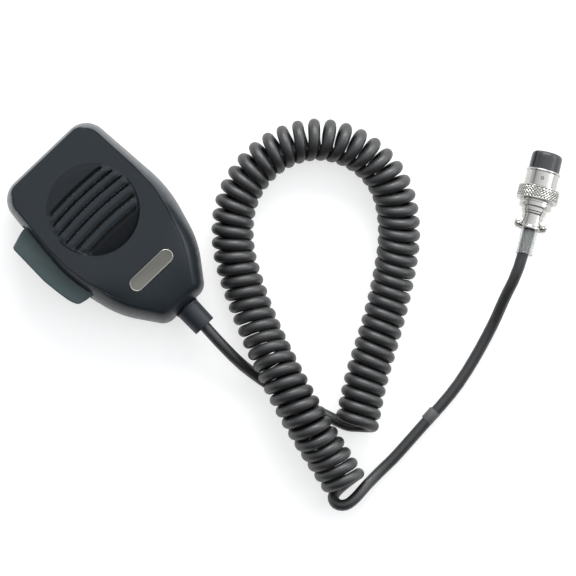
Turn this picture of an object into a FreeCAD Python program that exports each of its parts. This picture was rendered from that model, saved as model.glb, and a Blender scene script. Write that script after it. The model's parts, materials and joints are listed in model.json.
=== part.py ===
"""Hand microphone for a two-way radio, with a push-to-talk bar and a curly cord.

The microphone lies on its back on a table: +Z is up through the grille, +Y points
to the top of the case and the cord leaves towards -Y.  Everything is designed with
the centre of the grille at x = y = 0 and the table at z = 0.  main() then moves each
solid so that the origin is on the table below the middle of the microphone itself,
the cord and its plug left out.  Lengths are in millimetres.
"""
import FreeCAD, Part
import math
import os

Vector = FreeCAD.Vector
UP = Vector(0, 0, 1)

# ---- case ----
CASE_CORNERS = [(27.0, 33.5, 8.0), (31.6, -16.0, 60.0), (24.5, -42.5, 45.0), (11.5, -60.5, 7.0)]
CASE_BOTTOM = -60.5
WALL = 2.2
Z_BACK = 4.2
Z_SPLIT = 13.2
Z_FACE = 30.0
FACE_ROUND = 4.0
BACK_ROUND = 6.0
FLOOR = Z_BACK + WALL
CEILING = Z_FACE - WALL
PAD_CENTRE_Y = -29.0
PAD_LENGTH = 30.0
PAD_WIDTH = 26.0
PAD_ROUND = 3.0

# ---- grille, dust screen and capsule ----
GRILLE_RADIUS = 21.0
DISH_DEPTH = 1.0
SLOT_COUNT = 6
SLOT_PITCH = 4.86
SLOT_WIDTH = 1.5
SLOT_BOW_RADIUS = 250.0
SLOT_REACH = 20.4
SCREEN_THICK = 0.45
CAPSULE_RADIUS = 17.0
CAPSULE_BACK = 16.4
CAPSULE_FRONT = 26.6
BOOT_RADIUS = 19.8
BOOT_BACK = 15.2
BOOT_HOLE_RADIUS = 12.0

# ---- name plate ----
PLATE_Y = -37.8
PLATE_LENGTH = 24.8
PLATE_WIDTH = 7.0
PLATE_THICK = 0.9
PLATE_PROUD = 0.3
PLATE_GAP = 0.15

# ---- push-to-talk bar, its pin, spring and switch ----
PIVOT = Vector(-24.4, -24.5, 0)
PIN_RADIUS = 1.0
PIN_FIT = 0.05
EYE_RADIUS = 2.5
BAR_LOW = 9.3
BAR_HIGH = 23.9
BAR_GAP = 0.4
BAR_OUTLINE = [
    (-28.9, -27.5), (-34.4, -26.3), (-36.1, -22.5), (-37.3, -15.8), (-38.3, -8.0), (-38.3, 12.3),
    (-37.6, 13.6), (-30.2, 15.9), (-27.6, 15.9),
]
BAR_INNER_X = -24.8
LIP_OUTER_X = -26.0
LIP_TOP_Y = 18.6
WINDOW_LOW_Y = -28.6
WINDOW_HIGH_Y = 16.8
SWITCH_Y = 5.0
SWITCH_X = (-18.8, -8.8)
SWITCH_LENGTH = 14.0
SWITCH_HEIGHT = 5.2
PLUNGER_SIDE = 3.0
PLUNGER_TIP_X = -20.8
PLUNGER_DEPTH = 4.5
PLUNGER_TRAVEL = 1.85
PLUNGER_FIT = 0.08
PLUNGER_Z = 12.4
TOUCH_GAP = 0.12
SPRING_Y = 15.0
SPRING_Z = 12.2
SPRING_RADIUS = 1.9
SPRING_WIRE = 0.25
SPRING_TURNS = 5
SEAT_X = -18.6
SEAT_THICK = 1.6

# ---- circuit board ----
BOARD_X = (-16.4, 18.0)
BOARD_Y = (-20.0, 12.4)
BOARD_Z = 8.2
BOARD_THICK = 1.6
BOARD_POSTS = [(14.5, 8.5), (14.5, -16.5), (-13.2, -16.5)]

# ---- screws, stud and clamp ----
CASE_BOSSES = [(20.0, 26.0), (-20.0, 26.0), (14.0, -44.0), (-14.0, -44.0)]
BOSS_RADIUS = 3.1
CASE_SCREW_RADIUS = 1.25
CASE_SCREW_HEAD = 2.3
STUD_Y = 21.5
STUD_HEAD_RADIUS = 7.0
STUD_HEAD_THICK = 1.4
STUD_NECK_RADIUS = 4.3
STUD_SCREW_RADIUS = 1.5
CLAMP_Y = -48.0
CLAMP_POST_X = 6.2

# ---- strain relief and cord ----
CORD_RADIUS = 2.6
CORD_FIT = 0.04
RELIEF_END_Y = -72.5
RELIEF_RADIUS = 5.65
RELIEF_END_RADIUS = 5.4
RELIEF_GROOVE_RADIUS = 4.6
RELIEF_FLANGE_Y = (-56.9, -55.0)
RELIEF_FLANGE_RADIUS = 5.2
CURL_RADIUS = 9.65
CORD_LIES = CORD_RADIUS + 0.05
CURL_LIES = CURL_RADIUS + 0.05
BAND_RADIUS = 2.85
BAND_LIES = BAND_RADIUS + 0.05

# The cord's route, chosen by hand: out of the strain relief and down to the table,
# under the far side of the curl, round the curl's long loop and out to the plug.
LEAD_ROUTE = [
    (0.0, -72.5, 13.2), (0.0, -89.8, 13.2), (1.6, -104.8, CORD_LIES), (5.4, -120.5, CORD_LIES),
    (10.2, -134.5, CORD_LIES), (15.0, -145.4, 3.0), (19.0, -150.6, 3.4),
]
CURL_ROUTE = [
    (18.4, -152.4, CURL_LIES), (32.2, -140.6, CURL_LIES), (52.5, -129.2, CURL_LIES),
    (74.5, -116.4, CURL_LIES), (94.8, -101.6, CURL_LIES), (106.8, -82.0, CURL_LIES),
    (105.6, -60.4, CURL_LIES), (93.2, -42.6, CURL_LIES), (72.4, -35.2, CURL_LIES),
    (50.8, -39.6, CURL_LIES), (34.4, -54.2, CURL_LIES), (24.6, -74.0, CURL_LIES),
    (16.4, -94.4, 12.4), (9.6, -114.6, 17.6), (3.0, -135.8, 17.6), (-1.4, -155.0, 11.4),
    (-4.0, -168.6, CURL_LIES),
]
TAIL_ROUTE = [
    (-4.2, -166.8, 4.8), (5.6, -174.6, 3.2), (20.5, -175.2, BAND_LIES), (40.5, -172.4, BAND_LIES),
    (61.0, -170.9, BAND_LIES), (79.0, -165.6, CORD_LIES), (96.0, -160.2, 4.2),
]
BAND_LENGTH = 6.0
BAND_RUN = 3
BAND_SHARE = 0.25

# ---- plug: distances are measured back from its tip along its axis ----
PLUG_TIP = Vector(166.6, -122.3, 0)
PLUG_TURN = 32.5
INSERT_RADIUS = 7.0
INSERT_PROUD = 9.0
INSERT_TAIL = 16.0
INSERT_TAIL_RADIUS = 6.2
KEYWAY_WIDTH = 1.7
KEYWAY_DEPTH = 1.1
KEYWAY_TURN = 52.0
CONTACT_COUNT = 4
CONTACT_CIRCLE = 3.2
CONTACT_RADIUS = 1.25
CONTACT_BORE = 0.8
LIP_RADIUS = 7.9
LIP_BACK = 10.2
SLEEVE_RADIUS = 7.4
SLEEVE_BACK = 24.0
COLLAR_RADIUS = 7.35
COLLAR_BACK = 26.4
NECK_RADIUS = 5.6
CLAMP_FRONT = 29.2
CLAMP_BACK = 36.4
CLAMP_RADIUS = 4.6
EAR_REACH = 7.5
EAR_LENGTH = 4.2
EAR_THICK = 2.2
EAR_SCREW_Y = 5.8
EAR_SCREW_RADIUS = 0.9
EAR_SCREW_HEAD = 1.5
RING_RADIUS = 9.5
RING_FRONT = 16.9
RING_BACK = 23.2
RING_BORE = 8.0
RING_FLANGE_BORE = 7.5
RING_FLANGE_FRONT = 21.75
WASHER_THICK = 0.8
WASHER_RADII = (7.46, 7.94)
CLEAR_RADIUS = 3.7
CLEAR_BACK = 47.8
JACKET_FRONT = 33.0
JACKET_BEND = 60.0
PLUG_LIFT = 0.05

# The plug rests on the front rim of its ring and on the tip of its insert.
PLUG_DIP = math.atan((RING_RADIUS - INSERT_RADIUS) / RING_FRONT)
PLUG_TIP_Z = INSERT_RADIUS * math.cos(PLUG_DIP) + PLUG_LIFT


# ------------------------------------------------------------------ helpers
def post(x, y, low, high, radius):
    """A round post or hole along Z."""
    return Part.makeCylinder(radius, high - low, Vector(x, y, low))


def block(x_span, y_span, z_span):
    """A box between two corners."""
    size = [high - low for low, high in (x_span, y_span, z_span)]
    return Part.makeBox(*size, Vector(x_span[0], y_span[0], z_span[0]))


def fuse(shapes):
    """One solid out of touching solids."""
    whole = shapes[0].multiFuse(shapes[1:])
    return whole.removeSplitter()


def rounded_loop(corners):
    """A closed wire at z = 0 through (x, y, radius) corners joined by tangent arcs."""
    edges = []
    count = len(corners)
    starts, ends = [], []
    for i, (x, y, radius) in enumerate(corners):
        here = Vector(x, y, 0)
        before = Vector(*corners[i - 1][:2], 0) - here
        after = Vector(*corners[(i + 1) % count][:2], 0) - here
        before.normalize()
        after.normalize()
        half = before.getAngle(after) / 2
        reach = radius / math.tan(half)
        middle = before + after
        middle.normalize()
        centre = here + middle * (radius / math.sin(half))
        starts.append(here + before * reach)
        ends.append(here + after * reach)
        edges.append(Part.Arc(starts[-1], centre - middle * radius, ends[-1]).toShape())
    joined = []
    for i in range(count):
        joined.append(edges[i])
        joined.append(Part.LineSegment(ends[i], starts[(i + 1) % count]).toShape())
    return Part.Wire(joined)


def case_loop(inset):
    """The outline of the case in plan, moved inwards by inset."""
    right = CASE_CORNERS
    left = [(-x, y, radius) for x, y, radius in reversed(CASE_CORNERS)]
    loop = rounded_loop(right + left)
    if inset:
        loop = loop.makeOffset2D(-inset)
    return loop


def level_edges(shape, z):
    """The edges that lie flat at height z."""
    return [
        edge for edge in shape.Edges
        if abs(edge.BoundBox.ZMin - z) < 1e-4 and abs(edge.BoundBox.ZMax - z) < 1e-4
    ]


def case_block(inset):
    """The whole case as one rounded block, or the hollow inside it."""
    low, high = Z_BACK + inset, Z_FACE - inset
    loop = case_loop(inset)
    loop.translate(Vector(0, 0, low))
    body = Part.Face(loop).extrude(Vector(0, 0, high - low))
    body = body.makeFillet(FACE_ROUND - inset / 2, level_edges(body, high))
    return body.makeFillet(BACK_ROUND - inset / 2, level_edges(body, low))


def stadium(length, width, low, high, y):
    """A bar with round ends along X."""
    reach = (length - width) / 2
    middle = block((-reach, reach), (y - width / 2, y + width / 2), (low, high))
    return fuse([middle, post(-reach, y, low, high, width / 2), post(reach, y, low, high, width / 2)])


def tube_path(points):
    """Straight runs joined by the largest tangent arcs that they allow, and the arcs' radii."""
    places = [Vector(*point) for point in points]
    edges, radii = [], []
    last = places[0]
    for before, here, after in zip(places, places[1:], places[2:]):
        back, ahead = before - here, after - here
        reach = 0.45 * min(back.Length, ahead.Length)
        back.normalize()
        ahead.normalize()
        turn = math.pi - back.getAngle(ahead)
        radius = reach / math.tan(turn / 2)
        middle = back + ahead
        middle.normalize()
        sagitta = radius / math.cos(turn / 2) - radius
        start, end = here + back * reach, here + ahead * reach
        edges.append(Part.LineSegment(last, start).toShape())
        edges.append(Part.Arc(start, here + middle * sagitta, end).toShape())
        radii.append(radius)
        last = end
    edges.append(Part.LineSegment(last, places[-1]).toShape())
    return Part.Wire(edges), radii


def tube(points, radius):
    """A round tube that follows a route."""
    path, radii = tube_path(points)
    start = Vector(*points[0])
    ahead = Vector(*points[1]) - start
    ring = Part.Wire(Part.Circle(start, ahead, radius).toShape())
    solid = path.makePipeShell([ring], True, False)
    return solid, path.Length, radii


# ------------------------------------------------------------------ case
def case_shells():
    """The front and rear shells as plain hollow halves."""
    hollow = case_block(0).cut(case_block(WALL))
    reach = 100.0
    below = block((-reach, reach), (-reach, reach), (-reach, Z_SPLIT))
    return hollow.cut(below), hollow.common(below)


def bar_window():
    """The opening in the left flank that the push-to-talk bar stands out of."""
    return block((-45, -23), (WINDOW_LOW_Y, WINDOW_HIGH_Y), (BAR_LOW - BAR_GAP, BAR_HIGH + BAR_GAP))


def relief_hole():
    """The hole in the bottom wall that grips the strain relief's groove."""
    start = Vector(0, RELIEF_FLANGE_Y[1], Z_SPLIT)
    return Part.makeCylinder(RELIEF_GROOVE_RADIUS + CORD_FIT, 12.0, start, Vector(0, -1, 0))


def grille_slots():
    """Crosswise slots, each bowed slightly towards the top of the case."""
    disc = post(0, 0, CEILING - 1, Z_FACE + 1, SLOT_REACH)
    slots = []
    for i in range(SLOT_COUNT):
        middle = (i - (SLOT_COUNT - 1) / 2) * SLOT_PITCH
        centre_y = middle - SLOT_BOW_RADIUS
        outer = post(0, centre_y, CEILING - 1, Z_FACE + 1, SLOT_BOW_RADIUS + SLOT_WIDTH / 2)
        inner = post(0, centre_y, CEILING - 1, Z_FACE + 1, SLOT_BOW_RADIUS - SLOT_WIDTH / 2)
        slots.append(outer.cut(inner).common(disc))
    return slots


def front_shell(shell):
    """The face half: dished grille, plate recess, screw bosses and the capsule's rim."""
    rim = post(0, 0, 22.0, CEILING, BOOT_RADIUS + 1.4).cut(post(0, 0, 21.0, CEILING, BOOT_RADIUS + 0.1))
    pin_boss = post(PIVOT.x, PIVOT.y, BAR_HIGH + BAR_GAP, CEILING + 0.5, EYE_RADIUS)
    bosses = [post(x, y, Z_SPLIT, CEILING + 0.5, BOSS_RADIUS) for x, y in CASE_BOSSES]
    shell = shell.cut(bar_window())
    shell = fuse([shell, rim, pin_boss] + bosses)
    recess = PLATE_LENGTH + 2 * PLATE_GAP, PLATE_WIDTH + 2 * PLATE_GAP
    cuts = [
        post(0, 0, Z_FACE - DISH_DEPTH, Z_FACE + 1, GRILLE_RADIUS),
        stadium(*recess, Z_FACE - PLATE_THICK + PLATE_PROUD, Z_FACE + 1, PLATE_Y),
        relief_hole(),
        post(PIVOT.x, PIVOT.y, BAR_HIGH, CEILING - 1, PIN_RADIUS + 0.02),
    ]
    cuts += [post(x, y, Z_SPLIT - 1, CEILING - 2, CASE_SCREW_RADIUS + 0.05) for x, y in CASE_BOSSES]
    return shell.cut(cuts + grille_slots())


def rear_shell(shell):
    """The back half: palm pad, screw bosses, board posts, cord cradle and spring seat."""
    pad_x = (-PAD_WIDTH / 2, PAD_WIDTH / 2)
    pad_y = (PAD_CENTRE_Y - PAD_LENGTH / 2, PAD_CENTRE_Y + PAD_LENGTH / 2)
    pad = block(pad_x, pad_y, (0, Z_BACK + 0.5))
    corners = [e for e in pad.Edges if e.BoundBox.ZLength > 1]
    pad = pad.makeFillet(PAD_WIDTH / 3, corners)
    pad = pad.makeFillet(PAD_ROUND, level_edges(pad, 0))
    inner_x = PAD_WIDTH / 2 - WALL
    inner_y = PAD_LENGTH / 2 - WALL
    pocket = block((-inner_x, inner_x), (PAD_CENTRE_Y - inner_y, PAD_CENTRE_Y + inner_y), (WALL, FLOOR + 1))
    pocket = pocket.makeFillet(PAD_WIDTH / 3 - WALL, [e for e in pocket.Edges if e.BoundBox.ZLength > 1])
    shell = fuse([shell.cut(bar_window()), pad]).cut(pocket)
    root = FLOOR - 0.5
    added = [post(x, y, root, Z_SPLIT, BOSS_RADIUS) for x, y in CASE_BOSSES]
    added += [post(x, y, root, BOARD_Z, 2.2) for x, y in BOARD_POSTS]
    added.append(post(PIVOT.x, PIVOT.y, Z_BACK + 1.5, BAR_LOW - BAR_GAP, EYE_RADIUS))
    seat_y = (SPRING_Y - 2.4, SPRING_Y + 2.4)
    added.append(block((SEAT_X, SEAT_X + SEAT_THICK), seat_y, (root, SPRING_Z + 2.4)))
    added.append(block((-8.6, 8.6), (CLAMP_Y - 2.3, CLAMP_Y + 2.3), (root, Z_SPLIT - 0.2)))
    shell = fuse([shell] + added)
    bed_start = Vector(0, CLAMP_Y - 10, Z_SPLIT)
    cord_bed = Part.makeCylinder(CORD_RADIUS + CORD_FIT, 20.0, bed_start, Vector(0, 1, 0))
    cuts = [relief_hole(), cord_bed, post(0, STUD_Y, 0, FLOOR + 1, STUD_SCREW_RADIUS + 0.05)]
    cuts.append(post(PIVOT.x, PIVOT.y, FLOOR + 0.2, BAR_LOW, PIN_RADIUS + 0.02))
    for x, y in CASE_BOSSES:
        cuts.append(post(x, y, Z_BACK - 1, FLOOR + 0.8, CASE_SCREW_HEAD + 0.2))
        cuts.append(post(x, y, Z_BACK, Z_SPLIT + 1, CASE_SCREW_RADIUS + 0.25))
    cuts += [post(x, y, FLOOR + 0.2, BOARD_Z + 1, 0.95) for x, y in BOARD_POSTS]
    cuts += [post(x, CLAMP_Y, FLOOR + 1, Z_SPLIT + 1, 1.15) for x in (-CLAMP_POST_X, CLAMP_POST_X)]
    return shell.cut(cuts)


def case_screws():
    """Four self-tapping screws, put in from the back."""
    top = FLOOR + 0.8
    return [
        fuse([post(x, y, top - 1.6, top, CASE_SCREW_HEAD), post(x, y, top - 0.5, 22.0, CASE_SCREW_RADIUS)])
        for x, y in CASE_BOSSES
    ]


def name_plate():
    """The plain badge set into the face."""
    low = Z_FACE - PLATE_THICK + PLATE_PROUD
    plate = stadium(PLATE_LENGTH, PLATE_WIDTH, low, low + PLATE_THICK, PLATE_Y)
    return plate.makeChamfer(0.25, level_edges(plate, low + PLATE_THICK))


# ------------------------------------------------------------------ hang-up stud
def hang_stud():
    """The turned button on the back that drops into a hang-up clip."""
    head = post(0, STUD_Y, 0, STUD_HEAD_THICK, STUD_HEAD_RADIUS)
    head = head.makeFillet(0.4, level_edges(head, 0))
    stud = fuse([head, post(0, STUD_Y, STUD_HEAD_THICK, Z_BACK, STUD_NECK_RADIUS)])
    sink = Part.makeCone(3.0, STUD_SCREW_RADIUS, 1.5, Vector(0, STUD_Y, 0))
    return stud.cut([post(0, STUD_Y, -1, Z_BACK + 1, STUD_SCREW_RADIUS + 0.05), sink])


def stud_screw():
    """The countersunk screw that holds the stud."""
    head = Part.makeCone(2.9, STUD_SCREW_RADIUS, 1.4, Vector(0, STUD_Y, 0.1))
    slot = block((-3, 3), (STUD_Y - 0.3, STUD_Y + 0.3), (-1, 0.7))
    return fuse([head, post(0, STUD_Y, 1.0, 10.2, STUD_SCREW_RADIUS)]).cut(slot)


def stud_nut():
    """The hexagon nut inside the case on the stud's screw."""
    turns = [math.radians(60 * i) for i in range(6)]
    corners = [(3.1 * math.cos(turn), 3.1 * math.sin(turn), 0.3) for turn in turns]
    loop = rounded_loop(corners)
    loop.translate(Vector(0, STUD_Y, FLOOR))
    nut = Part.Face(loop).extrude(Vector(0, 0, 2.4))
    return nut.cut(post(0, STUD_Y, 0, 12, STUD_SCREW_RADIUS + 0.02))


# ------------------------------------------------------------------ sound parts
def capsule():
    """The dynamic microphone element, with its magnet cup at the back."""
    body = post(0, 0, CAPSULE_BACK + 2.0, CAPSULE_FRONT, CAPSULE_RADIUS)
    body = body.makeFillet(0.6, level_edges(body, CAPSULE_FRONT))
    cup = post(0, 0, CAPSULE_BACK, CAPSULE_BACK + 2.5, 11.0)
    vents = []
    for i in range(6):
        turn = math.radians(60 * i)
        x, y = 9 * math.cos(turn), 9 * math.sin(turn)
        vents.append(post(x, y, CAPSULE_FRONT - 1.2, CAPSULE_FRONT + 1, 1.5))
    return fuse([body, cup]).cut(vents)


def capsule_boot():
    """The rubber ring that holds the capsule behind the grille."""
    boot = post(0, 0, BOOT_BACK, CAPSULE_FRONT + 0.6, BOOT_RADIUS)
    room = post(0, 0, CAPSULE_BACK + 1.98, CAPSULE_FRONT + 2, CAPSULE_RADIUS + 0.02)
    return boot.cut([room, post(0, 0, BOOT_BACK - 1, CAPSULE_FRONT, BOOT_HOLE_RADIUS)])


def capsule_leads():
    """Two wires from the capsule down to the board."""
    low = BOARD_Z + BOARD_THICK
    leads = []
    for x in (-3.0, 3.0):
        route = [(x, -8.0, CAPSULE_BACK - 0.02), (x, -8.0, 14.2), (x, -11.0, 12.2), (x, -11.0, low + 0.02)]
        leads.append(tube(route, 0.5)[0])
    return leads


# ------------------------------------------------------------------ board and switch
def circuit_board():
    """The board behind the capsule, with holes for its screws."""
    board = block(BOARD_X, BOARD_Y, (BOARD_Z, BOARD_Z + BOARD_THICK))
    board = board.makeFillet(1.5, [e for e in board.Edges if e.BoundBox.ZLength > 1])
    return board.cut([post(x, y, BOARD_Z - 1, BOARD_Z + 3, 1.1) for x, y in BOARD_POSTS])


def board_screws():
    """Three small screws that hold the board."""
    top = BOARD_Z + BOARD_THICK
    return [fuse([post(x, y, 6.8, top + 0.1, 0.9), post(x, y, top, top + 1.3, 1.9)]) for x, y in BOARD_POSTS]


def board_parts():
    """A capacitor, a chip and two resistors on the board."""
    top = BOARD_Z + BOARD_THICK
    return [
        post(8.0, -13.0, top, top + 4.6, 2.5),
        block((0.5, 5.5), (4.0, 9.0), (top, top + 1.5)),
        block((9.0, 12.2), (-4.0, -2.4), (top, top + 0.8)),
        block((9.0, 12.2), (-1.0, 0.6), (top, top + 0.8)),
    ]


def plunger_room(fit):
    """The square channel that the plunger slides in."""
    half = PLUNGER_SIDE / 2 + fit
    end = SWITCH_X[0] + PLUNGER_DEPTH + (PLUNGER_TRAVEL + 0.3 if fit else 0)
    y_span = (SWITCH_Y - half, SWITCH_Y + half)
    return block((PLUNGER_TIP_X, end), y_span, (PLUNGER_Z - half, PLUNGER_Z + half))


def switch_body():
    """The push switch on the board's left edge."""
    top = BOARD_Z + BOARD_THICK
    half = SWITCH_LENGTH / 2
    body = block(SWITCH_X, (SWITCH_Y - half, SWITCH_Y + half), (top, top + SWITCH_HEIGHT))
    return body.cut(plunger_room(PLUNGER_FIT))


# ------------------------------------------------------------------ push-to-talk bar
def ptt_bar():
    """The bar: a grip outside the case, an eye for the pin, a stop lip and a finger for the switch."""
    inner = [(BAR_INNER_X, LIP_TOP_Y - 2.2), (BAR_INNER_X, -22.0), (PIVOT.x, PIVOT.y - EYE_RADIUS)]
    points = [Vector(x, y, BAR_LOW) for x, y in BAR_OUTLINE + inner]
    face = Part.Face(Part.makePolygon(points + points[:1]))
    body = face.extrude(Vector(0, 0, BAR_HIGH - BAR_LOW))
    outer = [e for e in level_edges(body, BAR_HIGH) + level_edges(body, BAR_LOW) if e.BoundBox.XMax < -36.0]
    body = body.makeFillet(1.2, outer)
    eye = post(PIVOT.x, PIVOT.y, BAR_LOW, BAR_HIGH, EYE_RADIUS)
    lip_z = (BAR_LOW + 1.2, BAR_HIGH - 1.2)
    lip = block((LIP_OUTER_X, BAR_INNER_X + 0.2), (LIP_TOP_Y - 4.6, LIP_TOP_Y), lip_z)
    finger_tip = PLUNGER_TIP_X - TOUCH_GAP
    finger_y = (SWITCH_Y - 1.5, SWITCH_Y + 1.5)
    finger_z = (PLUNGER_Z - 1.8, PLUNGER_Z + 1.8)
    finger = block((BAR_INNER_X - 0.5, finger_tip), finger_y, finger_z)
    body = fuse([body, eye, lip, finger])
    return body.cut(post(PIVOT.x, PIVOT.y, 0, Z_FACE, PIN_RADIUS + PIN_FIT))


def pivot_pin():
    """The steel pin that the bar turns on."""
    return post(PIVOT.x, PIVOT.y, FLOOR + 0.3, CEILING - 1.2, PIN_RADIUS)


def return_spring():
    """A coil spring between the bar and the seat on the rear shell."""
    gap = 0.15
    length = SEAT_X - BAR_INNER_X - 2 * (SPRING_WIRE + gap)
    helix = Part.makeHelix(length / SPRING_TURNS, length, SPRING_RADIUS)
    ring = Part.Wire(Part.Circle(Vector(SPRING_RADIUS, 0, 0), Vector(0, 1, 0), SPRING_WIRE).toShape())
    spring = Part.Wire(helix).makePipeShell([ring], True, True)
    spring.rotate(Vector(0, 0, 0), Vector(0, 1, 0), 90)
    spring.translate(Vector(BAR_INNER_X + SPRING_WIRE + gap, SPRING_Y, SPRING_Z))
    return spring


# ------------------------------------------------------------------ cord at the case
def strain_relief():
    """The flexible sleeve in the case's bottom wall."""
    radii = [
        (RELIEF_FLANGE_Y[1], RELIEF_FLANGE_RADIUS), (RELIEF_FLANGE_Y[0], RELIEF_FLANGE_RADIUS),
        (RELIEF_FLANGE_Y[0], RELIEF_GROOVE_RADIUS), (CASE_BOTTOM - 0.1, RELIEF_GROOVE_RADIUS),
        (CASE_BOTTOM - 0.1, RELIEF_RADIUS), (RELIEF_END_Y, RELIEF_END_RADIUS),
    ]
    bore = CORD_RADIUS + CORD_FIT
    loop = [(RELIEF_FLANGE_Y[1], bore)] + radii + [(RELIEF_END_Y, bore), (RELIEF_FLANGE_Y[1], bore)]
    face = Part.Face(Part.makePolygon([Vector(radius, y, Z_SPLIT) for y, radius in loop]))
    return face.revolve(Vector(0, 0, Z_SPLIT), Vector(0, 1, 0), 360)


def cord_inner():
    """The end of the cord's jacket, from inside the case to the strain relief's mouth."""
    length = (CLAMP_Y + 3.0) - RELIEF_END_Y
    return Part.makeCylinder(CORD_RADIUS, length, Vector(0, RELIEF_END_Y, Z_SPLIT), Vector(0, 1, 0))


def cord_cores():
    """The four wires from the jacket's end to the board."""
    start_y = CLAMP_Y + 3.0
    board_top = BOARD_Z + BOARD_THICK
    cores = []
    for i in range(4):
        turn = math.radians(45 + 90 * i)
        x, z = 1.3 * math.cos(turn), Z_SPLIT + 1.3 * math.sin(turn)
        spread = (i - 1.5) * 3.0
        route = [
            (x, start_y, z), (x, start_y + 8, z), (spread, start_y + 18, z - 0.6),
            (spread, start_y + 27, board_top + 2.4), (spread, start_y + 27, board_top + 0.02),
        ]
        cores.append(tube(route, 0.6)[0])
    return cores


def cord_clamp():
    """The saddle that holds the jacket inside the case."""
    bar = block((-8.6, 8.6), (CLAMP_Y - 2.3, CLAMP_Y + 2.3), (Z_SPLIT - 0.2, Z_SPLIT + 4.2))
    bed = Part.makeCylinder(CORD_RADIUS + CORD_FIT, 20.0, Vector(0, CLAMP_Y - 10, Z_SPLIT), Vector(0, 1, 0))
    holes = [post(x, CLAMP_Y, 0, 30, 1.2) for x in (-CLAMP_POST_X, CLAMP_POST_X)]
    return bar.cut([bed] + holes)


def clamp_screws():
    """Two screws that pull the saddle down."""
    top = Z_SPLIT + 4.2
    return [
        fuse([post(x, CLAMP_Y, 8.0, top + 0.1, 1.1), post(x, CLAMP_Y, top, top + 1.4, 2.0)])
        for x in (-CLAMP_POST_X, CLAMP_POST_X)
    ]


# ------------------------------------------------------------------ plug
def plug_frame():
    """The placement that lays a plug modelled along X, tip at the origin, on the table."""
    aim = FreeCAD.Rotation(UP, PLUG_TURN) * FreeCAD.Rotation(Vector(0, 1, 0), math.degrees(PLUG_DIP))
    return FreeCAD.Placement(Vector(PLUG_TIP.x, PLUG_TIP.y, PLUG_TIP_Z), aim)


def plug_point(back):
    """The point on the plug's axis that is this far behind its tip."""
    return plug_frame().multVec(Vector(-back, 0, 0))


def turned(front, back, radius, back_radius=None):
    """A round stretch of the plug between two distances behind its tip."""
    ends = Vector(-front, 0, 0), Vector(-1, 0, 0)
    if back_radius is None:
        return Part.makeCylinder(radius, back - front, *ends)
    return Part.makeCone(radius, back_radius, back - front, *ends)


def plug_post(x, y, low, high, radius):
    """A round post across the plug, along its own upright axis."""
    return Part.makeCylinder(radius, high - low, Vector(x, y, low))


def contact_places():
    """The contacts' centres in the plug's face."""
    turns = [math.radians(45 + 360 / CONTACT_COUNT * i) for i in range(CONTACT_COUNT)]
    return [(CONTACT_CIRCLE * math.cos(turn), CONTACT_CIRCLE * math.sin(turn)) for turn in turns]


def plug_insert():
    """The black insulator, with a keyway and four holes."""
    nose = turned(0, INSERT_PROUD, INSERT_RADIUS)
    body = fuse([nose, turned(INSERT_PROUD, INSERT_TAIL, INSERT_TAIL_RADIUS)])
    body = body.makeFillet(0.5, [e for e in body.Edges if e.BoundBox.XMin > -0.01])
    half = KEYWAY_WIDTH / 2
    keyway = block((-INSERT_PROUD, 1), (-half, half), (INSERT_RADIUS - KEYWAY_DEPTH, INSERT_RADIUS + 1))
    keyway.rotate(Vector(0, 0, 0), Vector(1, 0, 0), -KEYWAY_TURN)
    cuts = [keyway]
    for y, z in contact_places():
        cuts.append(Part.makeCylinder(CONTACT_RADIUS + 0.02, 20, Vector(-1, y, z), Vector(-1, 0, 0)))
        cuts.append(Part.makeCylinder(CONTACT_BORE + 0.1, 3, Vector(1, y, z), Vector(-1, 0, 0)))
    return body.cut(cuts)


def plug_contacts():
    """Four tubular contacts with solder cups."""
    contacts = []
    for y, z in contact_places():
        rod = Part.makeCylinder(CONTACT_RADIUS, 18.0, Vector(-1, y, z), Vector(-1, 0, 0))
        front = Part.makeCylinder(CONTACT_BORE, 8.0, Vector(0, y, z), Vector(-1, 0, 0))
        cup = Part.makeCylinder(CONTACT_BORE, 3.0, Vector(-17, y, z), Vector(-1, 0, 0))
        contacts.append(rod.cut([front, cup]))
    return contacts


def ears(side):
    """Both clamp ears: side is -1 for the body's half and 1 for the saddle's."""
    gap = 0.15
    low, high = sorted((side * gap, side * (EAR_THICK + gap)))
    middle = (CLAMP_BACK - EAR_LENGTH, CLAMP_BACK)
    return block((-middle[1], -middle[0]), (-EAR_REACH, EAR_REACH), (low, high))


def half_clamp(side):
    """One half of the round cable clamp with its ears."""
    ring = turned(CLAMP_FRONT, CLAMP_BACK, CLAMP_RADIUS)
    gap = 0.15
    low, high = sorted((side * gap, side * 20))
    half = ring.common(block((-60, 0), (-20, 20), (low, high)))
    wings = ears(side)
    half = fuse([half, wings.makeFillet(1.6, [e for e in wings.Edges if e.BoundBox.ZLength > 1])])
    bed = turned(CLAMP_FRONT - 1, CLAMP_BACK + 1, CORD_RADIUS + CORD_FIT)
    x = EAR_LENGTH / 2 - CLAMP_BACK
    holes = [plug_post(x, y, -20, 20, EAR_SCREW_RADIUS + 0.05) for y in (-EAR_SCREW_Y, EAR_SCREW_Y)]
    return half.cut([bed] + holes)


def plug_body():
    """The metal shell: lip, sleeve, collar, neck and the fixed half of the cable clamp."""
    shell = fuse([
        turned(INSERT_PROUD, LIP_BACK, LIP_RADIUS),
        turned(LIP_BACK, SLEEVE_BACK, SLEEVE_RADIUS),
        turned(SLEEVE_BACK, COLLAR_BACK, COLLAR_RADIUS),
        turned(COLLAR_BACK, CLAMP_FRONT, NECK_RADIUS),
    ])
    shell = shell.cut([
        turned(INSERT_PROUD - 1, INSERT_TAIL + 0.05, INSERT_TAIL_RADIUS + 0.03),
        turned(INSERT_TAIL, COLLAR_BACK, 5.4),
        turned(COLLAR_BACK - 0.5, CLAMP_FRONT + 1, 4.4),
        plug_post(-13.2, 0, 5, 9, 0.8),
    ])
    return fuse([shell, half_clamp(-1)])


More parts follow.
